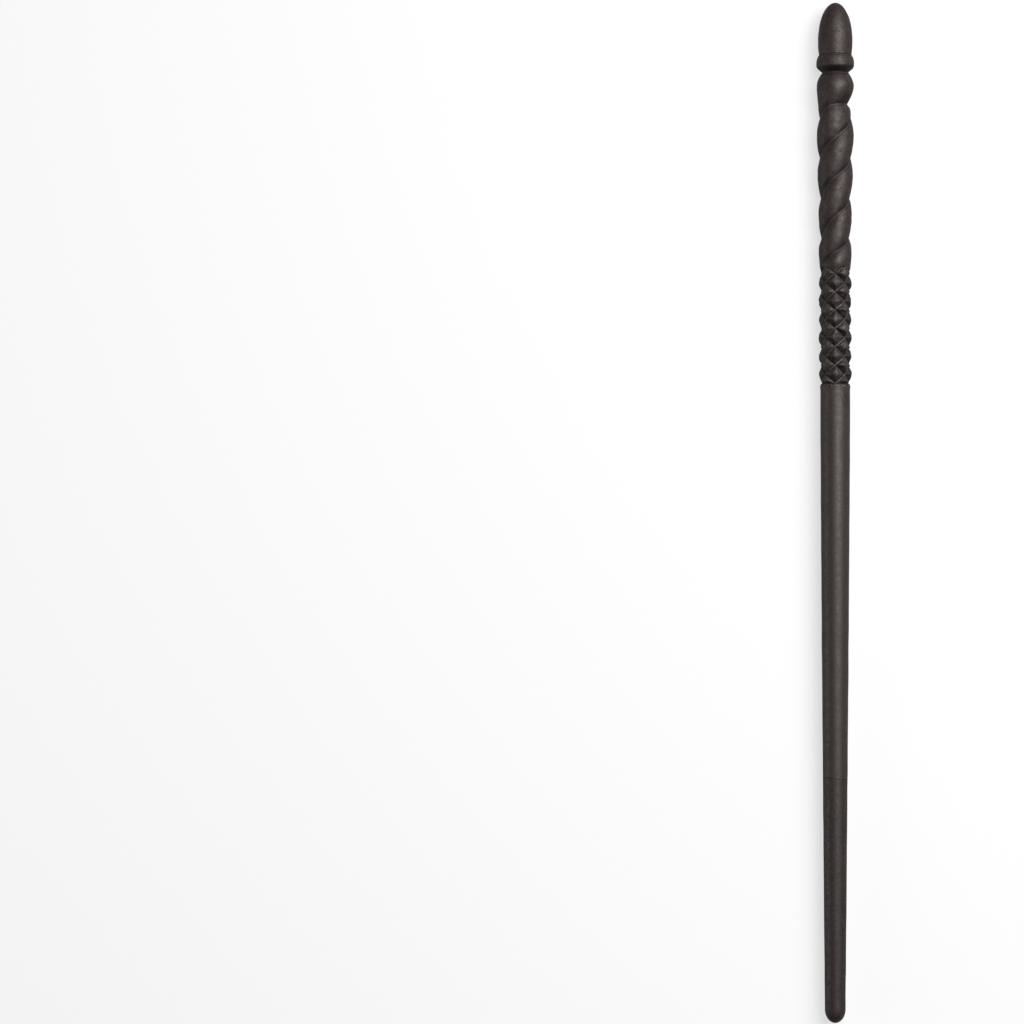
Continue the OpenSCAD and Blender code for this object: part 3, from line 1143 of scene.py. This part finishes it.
    def shift(self, stations: np.ndarray, degrees: np.ndarray) -> np.ndarray:
        """How far hand carving moved the grooves along the wand."""
        carving = self.carving
        window = ease((stations - carving.ring - 1.0) / 8.0) * ease((carving.cross - 3.0 - stations) / 5.0)
        lean = self.lean * ease((stations - self.lean_start) / self.lean_length)
        moved = window * (self.side_drop * sine(degrees) ** 2 - lean * cosine(degrees) ** 2)
        # The ring groove runs into the first strand's groove in one smooth bend.
        past = (self.ring_start - degrees + HALF_TURN) % WHOLE_TURN - HALF_TURN
        rise = carving.pitch / HALF_TURN
        line = carving.ring + rise * np.maximum(past, 0.0)
        bend = (past + np.sqrt(past ** 2 + self.ring_bend ** 2)) / 2.0 - np.maximum(past, 0.0)
        reach = bell(stations - line, self.bend_width) * ease((170.0 - np.abs(past)) / 70.0)
        return moved + rise * bend * reach

    def shares(self) -> np.ndarray:
        """Rows of points across a strand, close together along its grooves."""
        width = self.slant * self.carving.pitch
        down = spread((0.0, 0.7, 0.06), (0.7, width - 1.5, 0.33), (width - 1.5, width, 0.14))
        return down / width

    def strand_rows(self) -> tuple[np.ndarray, np.ndarray]:
        """Lays out one strand's net of points.

        Returns:
            Even stations, a row for each column of the strand, and how far each column is turned from the
            strand's start.
        """
        pitch, ring = self.carving.pitch, self.carving.ring
        end = float(self.undrawn(np.array(self.carving.cross)))
        half_turns = 2 * math.ceil((end + pitch - ring) / pitch / 2.0) + 2
        steps = (HALF_TURN - (self.half - self.half[0])) % HALF_TURN
        offsets = np.unique(np.round(np.concatenate([steps + HALF_TURN * n for n in range(half_turns)]), 6))
        lower = ring + pitch * offsets / HALF_TURN
        upper = np.maximum(lower - pitch, ring)
        kept = upper < end
        stations = upper[kept, None] + (lower - upper)[kept, None] * self.shares()
        return stations, offsets[kept]

    def cover_strand(self, skin: Skin, strand: int, known: dict[tuple, int]) -> None:
        """Covers one strand with a net that follows its grooves.

        Args:
            skin: The skin to add to.
            strand: 0 for the strand that starts behind the wand, 1 for the other.
            known: Numbers of the points that neighbours share, which this adds to.
        """
        stations, offsets = self.strand_rows()
        degrees = self.meet + HALF_TURN * strand - offsets
        grid = self.place(skin, stations, degrees[:, None] + 0.0 * stations)
        ends = self.undrawn(self.carving.border(degrees))
        for column, (turned, offset) in enumerate(zip(degrees, offsets)):
            if offset < HALF_TURN + 1e-6:
                grid[column, 0] = known[self.key("ring", turned)]
            else:
                upper_key = (1 - strand, round(offset - HALF_TURN, 3))
                grid[column, 0] = known.setdefault(upper_key, int(grid[column, 0]))
            if offset < 1e-6:
                grid[column] = known[self.key("ring", turned)]
            grid[column, -1] = known.setdefault((strand, round(offset, 3)), int(grid[column, -1]))
            past = stations[column] >= ends[column] - self.seam_slack
            grid[column, past] = known[self.key("border", turned)]
        # The columns run against the angle, so they are turned round before the faces are made.
        skin.cover(grid[::-1].T, closed=False)

    @staticmethod
    def key(line: str, degrees: float) -> tuple[str, float]:
        """Name of a point on a line round the wand, by its angle within a turn."""
        return line, round(degrees % WHOLE_TURN, 3) % WHOLE_TURN

    def build(self) -> list[bpy.types.Object]:
        """Builds the grip: the ball on a net of rings, and the strands on nets that follow their grooves."""
        shop, layout, angles, ring = self.shop, self.shop.layout, self.columns, self.carving.ring
        skin = Skin(layout)
        rows = spread((layout.neck, layout.neck + 1.2, 0.08), (layout.neck + 1.2, ring - 1.4, 0.3),
                      (ring - 1.4, ring, 0.14))[:, None]
        ball = self.place(skin, rows + 0.0 * angles, angles + 0.0 * rows)
        skin.cover(ball)
        border = self.place(skin, self.undrawn(self.carving.border(angles)), angles)
        known = {self.key("ring", degrees): int(number) for number, degrees in zip(ball[-1], angles)}
        known |= {self.key("border", degrees): int(number) for number, degrees in zip(border, angles)}
        for strand in (0, 1):
            self.cover_strand(skin, strand, known)
        bore, socket = shop.bore_radius, shop.socket_radius
        shape = [(layout.band_start, socket), (layout.tenon_start - shop.glue_gap, socket),
                 (layout.tenon_start - shop.glue_gap, bore), (layout.tenon_end + shop.glue_gap, bore),
                 (layout.tenon_end + shop.glue_gap, socket), (layout.neck, socket)]
        inner = [skin.add(station, radius, angles) for station, radius in shape]
        skin.join(border, *inner, ball[0])
        return [shop.deliver(skin, "twist_grip", Slot.HANDLE)]

    def place(self, skin: Skin, even: np.ndarray, degrees: np.ndarray) -> np.ndarray:
        """Adds carved points, with the hand's unevenness and the painted shade and highlight by slope, to the
        skin.
        """
        radii, wash, wear = self.surface(even, degrees)
        wash, wear = self.shop.brush.over(lambda *place: self.surface(*place)[0], even, degrees, wash, wear)
        stations, layout = self.drawn(even), self.shop.layout
        cover = ease((stations - layout.neck) / 1.5) * ease((self.carving.border(degrees) - stations) / 1.0)
        rough = self.hand.at(stations, radii, degrees) + self.ripple.at(stations, radii, degrees)
        radii = radii + cover * (rough + self.shop.mould.at(stations, radii, degrees))
        return skin.add(stations + self.shift(stations, degrees), radii, degrees, wash=wash, wear=wear)


@dataclass
class StudBand:
    """The sleeve of pointed studs, left between two families of crossing grooves."""

    shop: Workshop
    carving: Carving
    grip: TwistGrip
    steps: int = 18
    seed: int = 31
    around: int = 8
    spare_rows: int = 4
    steepness: float = 1.2
    uneven: float = 0.26
    level: float = 0.8
    level_spread: float = 0.07
    height_share: float = 1.04
    height_spread: float = 0.09
    roundness: float = 7.0
    middle_radius: float = 5.3
    rib_height: float = 0.1
    rib_width: float = 0.115
    end_radius: float = 4.8
    end_reach: float = 1.0
    end_shade: float = 0.35
    sink: float = 0.6
    dive: float = 0.3
    dive_growth: float = 0.16
    flow_round: float = 0.04
    flow_span: float = 0.9
    seam_slack: float = 0.02
    sharp_angle: float = 38.0
    hand: HandWork = HandWork(seed=32, span=1.7, depth=0.055)

    def surface(self, stations: np.ndarray, degrees: np.ndarray) -> Marked:
        """Shapes the studded surface.

        Args:
            stations: Stations of the places.
            degrees: Their angles.

        Returns:
            The radius, the dark wash and the wear at each place.
        """
        carving = self.carving
        x = degrees / EIGHTH_TURN
        y = 2.0 * (stations - carving.cross) / carving.stud_pitch
        rising, falling = (x + y) / 2.0, (x - y) / 2.0
        nudge = 1e-6
        first, second = np.floor(rising + nudge), np.floor(falling + nudge)
        across, along = limit(rising - first), limit(falling - second)
        column = np.mod(first + second + 1, self.around).astype(int)
        row = (first - second).astype(int) + self.spare_rows
        rows = 2 * (carving.stud_rows + self.spare_rows) + 2
        draws = np.random.default_rng(self.seed).uniform(-1.0, 1.0, (self.around, rows, 6))
        draw = draws[column, row]
        sides = np.stack([across, 1.0 - across, along, 1.0 - along], -1) * 2.0
        slopes = sides * (self.steepness + self.uneven * draw[..., :4]) + 1e-3
        rise = (slopes ** -self.roundness).sum(axis=-1) ** (-1.0 / self.roundness)
        level = self.level + self.level_spread * draw[..., 4]
        peak = rise / (1.0 + (rise / level) ** self.roundness) ** (1.0 / self.roundness)
        share = self.height_share + self.height_spread * draw[..., 5]
        height = (carving.stud_radius - carving.groove_radius) * share
        radii = carving.groove_radius + height * peak / self.level
        quarter_arc = math.radians(2 * EIGHTH_TURN) * self.middle_radius
        span = math.hypot(1.0 / quarter_arc, 1.0 / carving.stud_pitch)
        rib_off = np.minimum(across, 1.0 - across) / span
        line_off = np.minimum(along, 1.0 - along) / span
        rib = bell(rib_off, self.rib_width)
        radii = radii + self.rib_height * rib - 0.06 * bell(rib_off - 0.32, 0.14)
        radii = radii - 0.06 * bell(line_off, 0.14) * (1.0 - rib)
        # Painted shade in the grooves beside the ribs and along the crossing grooves; painted highlight on
        # the ribs and the studs' tops.
        rib_shade = 0.7 * bell(rib_off - 0.34, 0.2) * (1.0 - 0.8 * rib)
        wash = np.maximum(rib_shade, 0.7 * bell(line_off, 0.26) * (1.0 - rib))
        wear = np.maximum(0.7 * rib, 0.35 * ease((rise - level) / 0.2))
        return self.meet_twist(stations, degrees, radii, wash, wear)

    def meet_twist(self, stations: np.ndarray, degrees: np.ndarray, radii: np.ndarray, wash: np.ndarray,
                   wear: np.ndarray) -> Marked:
        """Lets the first studs rise out of the twist, and closes the last ones down to the shaft."""
        carving, layout = self.carving, self.shop.layout
        border = carving.border(degrees)
        edge_r, edge_shade_and_wash, edge_wear_and_highlight = self.grip.surface(self.grip.undrawn(border), degrees)
        down = np.maximum(stations - border, 0.0)
        flowing = 1.0 - carving.arm(degrees)
        carried = mix(carving.groove_radius - self.sink, edge_r, flowing)
        carried = carried - self.dive * down - self.dive_growth * down ** 2
        gap = radii - carried
        radii = (radii + carried + np.sqrt(gap ** 2 + self.flow_round * flowing ** 2)) / 2.0
        close = flowing * bell(down, self.flow_span)
        wash, wear = wash * (1.0 - close), wear * (1.0 - close)
        to_end = layout.band_end - stations
        radii = self.end_radius + (radii - self.end_radius) * ease(to_end / self.end_reach)
        # Painted shade where the band closes down to the shaft.
        wash = np.maximum(wash, 0.95 * bell(to_end, self.end_shade))
        past = stations <= border + self.seam_slack
        return np.where(past, edge_r, radii), np.where(past, edge_shade_and_wash, wash), np.where(past, edge_wear_and_highlight, wear)

    def build(self) -> list[bpy.types.Object]:
        """Builds the band on a net whose squares lie on the grooves, so that every groove stays sharp."""
        shop, layout, carving = self.shop, self.shop.layout, self.carving
        skin = Skin(layout)
        step = EIGHTH_TURN / self.steps
        angles = np.arange(0.0, WHOLE_TURN, step)
        rows = np.arange(-self.steps, 2 * carving.stud_rows * self.steps + 1)
        stations = (carving.cross + rows * carving.stud_pitch / 2 / self.steps)[:, None] + 0.0 * angles
        degrees = angles + 0.0 * stations
        radii, wash, wear = self.surface(stations, degrees)
        # Painted shade and highlight by slope.
        wash, wear = shop.brush.over(lambda *place: self.surface(*place)[0], stations, degrees, wash, wear)
        border = carving.border(angles)
        past = stations <= border + self.seam_slack
        cover = ease((layout.band_end - stations) / 0.8) * ease((stations - border) / 0.6)
        radii = radii + cover * self.hand.at(stations, radii, angles)
        grid = skin.add(np.where(past, border, stations), radii, angles, wash=wash, wear=wear)
        last = past.sum(axis=0) - 1
        grid = np.where(past, grid[last, np.arange(grid.shape[1])], grid)
        x = (degrees[:-1] + step / 2) / EIGHTH_TURN
        y = 2.0 * ((stations[:-1] + stations[1:]) / 2.0 - carving.cross) / carving.stud_pitch
        to_rib, to_line = (np.abs(line - np.round(line)) for line in ((x + y) / 2.0, (x - y) / 2.0))
        rising = to_rib <= to_line + 1e-6
        skin.cover(grid, rising=rising)
        ends = layout.band_end, layout.band_start
        inner = [skin.add(station, shop.socket_radius, angles) for station in ends]
        skin.join(grid[-1], *inner, grid[0])
        piece = shop.deliver(skin, "stud_band", Slot.HANDLE)
        piece.data.set_sharp_from_angle(angle=math.radians(self.sharp_angle))
        return [piece]


@dataclass
class Shaft:
    """The tapered shaft in two lengths, which meet at a slanted joint."""

    shop: Workshop
    groove_radius: float = 4.8
    shoulder_radius: float = 5.42
    shoulder: float = 1.2
    seat_radius: float = 5.33
    seat_length: float = 11.0
    tip_radius: float = 3.72
    tip_length: float = 5.0
    taper: float = 1.2
    slant: float = 7.0
    lower_wash: float = 0.3
    column_step: float = 2.0
    splice_reach: float = 12.0
    nicks_at: float = 0.9
    nicks_reach: float = 0.55
    nicks_shade: float = 0.5
    scratch_count: int = 16
    scratch_down: tuple[float, float] = (2.4, 8.0)
    scratch_side: tuple[float, float] = (2.6, 6.4)
    scratch_lean: tuple[float, float] = (48.0, 66.0)
    scratch_length: tuple[float, float] = (0.9, 2.2)
    scratch_width: tuple[float, float] = (0.12, 0.19)
    scratch_depth: tuple[float, float] = (0.05, 0.11)
    seed: int = 41
    chatter: HandWork = HandWork(seed=42, span=1.1, depth=0.04)
    hand: HandWork = HandWork(seed=43, span=9.0, depth=0.018)

    def __post_init__(self) -> None:
        """Sets the columns of points round the shaft."""
        self.columns = np.arange(0.0, WHOLE_TURN, self.column_step)

    def profile(self, stations: np.ndarray) -> np.ndarray:
        """Radius of the shaft at each station."""
        layout = self.shop.layout
        down = stations - layout.band_end
        edge = np.sqrt(limit(1.0 - (1.0 - limit(down / self.shoulder)) ** 2))
        head = mix(self.groove_radius, self.shoulder_radius, edge)
        head = mix(head, self.seat_radius, limit((down - self.shoulder) / self.shoulder))
        start = layout.band_end + 2 * self.shoulder + self.seat_length
        end = layout.length - self.tip_length
        share = limit((stations - start) / (end - start))
        body = mix(head, self.tip_radius, share ** self.taper)
        close = np.sqrt(limit(1.0 - (np.maximum(stations - end, 0.0) / self.tip_length) ** 2))
        return body * close

    def scratches(self, stations: np.ndarray, radii: np.ndarray, degrees: np.ndarray) -> np.ndarray:
        """Depth of the slanting scratches that lie just under the shoulder, right of the top.

        Args:
            stations: Stations of the places.
            radii: Radii there.
            degrees: Their angles.

        Returns:
            How deep each place is cut.
        """
        random = np.random.default_rng(self.seed)
        arc = radii * np.radians((degrees + HALF_TURN) % WHOLE_TURN - HALF_TURN)
        depth = np.zeros(stations.shape)
        for _ in range(self.scratch_count):
            start = self.shop.layout.band_end + random.uniform(*self.scratch_down)
            side = random.uniform(*self.scratch_side)
            lean = math.radians(random.uniform(*self.scratch_lean))
            length = random.uniform(*self.scratch_length)
            width = random.uniform(*self.scratch_width)
            cut = random.uniform(*self.scratch_depth)
            along = (stations - start) * math.sin(lean) + (arc - side) * math.cos(lean)
            across = (arc - side) * math.sin(lean) - (stations - start) * math.cos(lean)
            depth = np.maximum(depth, cut * bell(across, width) * bell(along, length))
        return depth

    def splice(self, radii: np.ndarray, degrees: np.ndarray) -> np.ndarray:
        """Station of the slanted joint, at a radius and angle."""
        return self.shop.layout.splice + math.tan(math.radians(self.slant)) * radii * sine(degrees)

    def place(self, skin: Skin, stations: np.ndarray, degrees: np.ndarray, wash: Any = 0.0) -> np.ndarray:
        """Adds points of the shaft's surface, with its marks, to the skin."""
        layout = self.shop.layout
        radii = self.profile(stations)
        down = stations - layout.band_end
        nick = self.chatter.at(stations, radii, degrees) * bell(down - self.nicks_at, self.nicks_reach)
        cuts = self.scratches(stations, radii, degrees)
        even = ease(down / 4.0) * ease((layout.length - stations) / 6.0)
        rough = self.hand.at(stations, radii, degrees) + self.shop.mould.at(stations, radii, degrees)
        radii = radii + nick - cuts + even * rough
        by_nicks = bell(down - self.nicks_at, self.nicks_shade)
        # Painted shade in the groove under the band and in the hollows between the nicks, darker in the
        # scratches, and a painted highlight on the nicks' bumps.
        groove = 0.95 * bell(down, 0.3) + 8.0 * cuts + 0.9 * by_nicks * ease(-nick / 0.02)
        wear = 0.8 * by_nicks * ease(nick / 0.025)
        return skin.add(stations, radii, degrees, wash=np.maximum(groove, wash), wear=wear)

    def upper(self) -> bpy.types.Object:
        """Builds the upper length, with the shoulder, the seat and the long tenon inside the handle."""
        shop, layout, angles = self.shop, self.shop.layout, self.columns
        skin = Skin(layout)
        start = layout.band_end
        rows = spread((start, start + 2.4, 0.1), (start + 2.4, start + 11.0, 0.2),
                      (start + 11.0, layout.splice - 2.0, 1.3),
                      (layout.splice - 2.0, layout.splice, 0.25))[:, None]
        radius = self.profile(np.array(layout.splice))
        near = ease((rows - layout.splice + self.splice_reach) / self.splice_reach)
        stations = rows + (self.splice(radius, angles) - layout.splice) * near
        gap = self.splice(radius, angles) - stations
        outer = self.place(skin, stations, angles + 0.0 * stations, wash=0.5 * bell(gap, 0.12))
        skin.cover(outer)
        bore, tenon = shop.bore_radius, shop.tenon_radius
        joint = skin.add(self.splice(bore, angles), bore, angles)
        shape = [(layout.tenon_start, bore), (layout.tenon_start, tenon), (layout.band_end, tenon)]
        inner = [skin.add(station, size, angles) for station, size in shape]
        skin.join(outer[-1], joint, *inner, outer[0])
        return shop.deliver(skin, "shaft_upper", Slot.SHAFT)

    def lower(self) -> bpy.types.Object:
        """Builds the lower length, with the rounded tip and the blind end of the rod's bore."""
        shop, layout, angles = self.shop, self.shop.layout, self.columns
        skin = Skin(layout)
        end = layout.length - self.tip_length
        round_tip = end + self.tip_length * np.sin(np.linspace(0.0, math.pi / 2, 26))[1:-1]
        rows = np.concatenate([spread((layout.splice, layout.splice + 2.0, 0.25),
                                      (layout.splice + 2.0, end, 1.2)), round_tip])[:, None]
        radius = self.profile(np.array(layout.splice))
        near = ease((layout.splice + self.splice_reach - rows) / self.splice_reach)
        stations = rows + (self.splice(radius, angles) - layout.splice) * near
        gap = stations - self.splice(radius, angles)
        wash = self.lower_wash + 0.3 * bell(gap, 0.15)
        outer = self.place(skin, stations, angles + 0.0 * stations, wash=wash)
        bore = shop.bore_radius
        bottom = skin.add(layout.rod_end + shop.glue_gap, bore, angles)
        joint = skin.add(self.splice(bore, angles), bore, angles)
        skin.close(bottom, layout.rod_end + shop.glue_gap, below=False)
        skin.join(bottom, joint, outer[0])
        skin.cover(outer)
        skin.close(outer[-1], layout.length, below=True)
        return shop.deliver(skin, "shaft_lower", Slot.SHAFT)

    def build(self) -> list[bpy.types.Object]:
        """Builds both lengths."""
        return [self.upper(), self.lower()]


@dataclass
class CoreRod:
    """The steel rod inside, whose shape the frame already has."""

    shop: Workshop

    def dress(self) -> bpy.types.Object:
        """Gives the rod its drawn steel."""
        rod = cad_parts["core_rod"]
        for slot in rod.material_slots:
            slot.material = self.shop.finishes[Slot.STEEL]
        LOG.info("%s: dressed", rod.name)
        return rod


# ---------------------------------------------------------------------------------------------- studio


@dataclass
class Studio:
    """A pale floor, a large soft lamp at the upper right with a weak fill, and the camera above."""

    layout: Layout
    floor_size: float = 5.0
    floor_albedo: float = 0.28
    floor_glow: float = 0.67
    floor_bounce: float = 0.1
    surround: float = 0.04
    surround_seen: float = 0.7
    lens: float = 113.0
    view_width: float = 369.4
    view_offset: float = -116.6
    view_middle: float = 0.3

    def floor(self) -> bpy.types.Object:
        """Lays the floor that the wand rests on."""
        half = self.floor_size / 2
        mesh = bpy.data.meshes.new("studio_floor")
        corners = [(-half, -half, 0), (half, -half, 0), (half, half, 0), (-half, half, 0)]
        mesh.from_pydata(corners, [], [(0, 1, 2, 3)])
        floor = bpy.data.objects.new("studio_floor", mesh)
        bpy.context.scene.collection.objects.link(floor)
        paper = bpy.data.materials.new("studio_paper")
        paper.use_nodes = True
        shader = paper.node_tree.nodes["Principled BSDF"]
        shader.inputs["Base Color"].default_value = (*(self.floor_albedo,) * 3, 1.0)
        shader.inputs["Emission Color"].default_value = (1.0, 1.0, 1.0, 1.0)
        wiring = Wiring(paper.node_tree)
        seen = wiring.node("ShaderNodeLightPath").outputs["Is Camera Ray"]
        extra = wiring.math("MULTIPLY", seen, self.floor_glow - self.floor_bounce)
        glow = wiring.math("ADD", self.floor_bounce, extra)
        paper.node_tree.links.new(glow, shader.inputs["Emission Strength"])
        shader.inputs["Roughness"].default_value = 0.9
        shader.inputs["Specular IOR Level"].default_value = 0.0
        mesh.materials.append(paper)
        floor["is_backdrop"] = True
        return floor

    def lamp(self, name: str, direction: tuple[float, float, float], distance: float, size: float,
             power: float) -> bpy.types.Object:
        """Hangs a square soft lamp that faces the wand's middle.

        Args:
            name: The lamp's name.
            direction: Where it hangs, seen from the wand.
            distance: How far away, in metres.
            size: Side of the lamp, in metres.
            power: Its power, in watts.

        Returns:
            The lamp.
        """
        data = bpy.data.lights.new(name, "AREA")
        data.shape, data.size, data.energy = "SQUARE", size, power
        lamp = bpy.data.objects.new(name, data)
        away = Vector(direction).normalized()
        lamp.location = away * distance
        lamp.rotation_mode = "QUATERNION"
        lamp.rotation_quaternion = (-away).to_track_quat("-Z", "Y")
        bpy.context.scene.collection.objects.link(lamp)
        return lamp

    def world(self) -> None:
        """Surrounds the studio with dim light, which looks as pale as the floor where the camera sees it."""
        world = bpy.data.worlds.new("studio")
        world.use_nodes = True
        world.node_tree.nodes.clear()
        wiring = Wiring(world.node_tree)
        seen = wiring.node("ShaderNodeLightPath").outputs["Is Camera Ray"]
        dim = wiring.node("ShaderNodeBackground", Color=(1.0, 1.0, 1.0, 1.0), Strength=self.surround)
        pale = wiring.node("ShaderNodeBackground", Color=(1.0, 1.0, 1.0, 1.0), Strength=self.surround_seen)
        both = wiring.node("ShaderNodeMixShader", i0=seen, i1=dim.outputs[0], i2=pale.outputs[0])
        wiring.node("ShaderNodeOutputWorld", Surface=both.outputs[0])
        bpy.context.scene.world = world

    def camera(self) -> bpy.types.Object:
        """Hangs the camera over the wand's middle and turns it so that the wand stands right of centre."""
        data = bpy.data.cameras.new("camera")
        data.lens = self.lens
        reach = self.view_width * self.lens / data.sensor_width * MM
        turn = math.atan2(-self.view_offset * MM, reach)
        camera = bpy.data.objects.new("camera", data)
        height = reach / math.cos(turn)
        camera.location = (0.0, self.view_middle * MM, self.layout.axis_z + height)
        camera.rotation_mode = "QUATERNION"
        camera.rotation_quaternion = Quaternion((0.0, 1.0, 0.0), turn)
        data.clip_end = 20.0
        bpy.context.scene.collection.objects.link(camera)
        bpy.context.scene.camera = camera
        return camera

    def build(self) -> None:
        """Sets the whole studio up."""
        self.camera()
        self.floor()
        self.world()
        self.lamp("key_lamp", direction=(0.43, 0.34, 0.84), distance=1.0, size=0.8, power=16.5)
        self.lamp("fill_lamp", direction=(-1.0, -0.1, 0.3), distance=1.2, size=0.6, power=2.6)
        bpy.context.scene.view_settings.view_transform = "Standard"


HANDLE_FINISH = ResinFinish(
    name="handle_resin", body=(0.037, 0.0265, 0.024), deep=(0.0055, 0.0032, 0.0027),
    rubbed=(0.08, 0.07, 0.066), roughness=0.52,
)
SHAFT_FINISH = ResinFinish(
    name="shaft_resin", body=(0.034, 0.0245, 0.0222), deep=(0.01, 0.0065, 0.0057),
    rubbed=(0.065, 0.056, 0.053), roughness=0.51, shine=0.52, mottling=0.75, stretch=1.3, relief=0.026,
    scores=0.06, dust_share=0.1,
)


def main() -> None:
    """Builds the wand, dresses it and sets up the studio."""
    logging.basicConfig(level=logging.INFO, format="%(name)s: %(message)s")
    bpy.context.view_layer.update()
    layout = Layout.from_frame()
    effects = Effects()
    finishes = {Slot.HANDLE: HANDLE_FINISH.material(effects), Slot.SHAFT: SHAFT_FINISH.material(effects),
                Slot.STEEL: SteelFinish().material(effects)}
    shop = Workshop(layout, finishes)
    carving = Carving(layout)
    grip = TwistGrip(shop, carving)
    Studio(layout).build()
    for maker in (Pommel(shop), grip, StudBand(shop, carving, grip), Shaft(shop)):
        for piece in maker.build():
            LOG.info("%s is in place", piece.name)
    CoreRod(shop).dress()


if __name__ == "__main__":
    main()
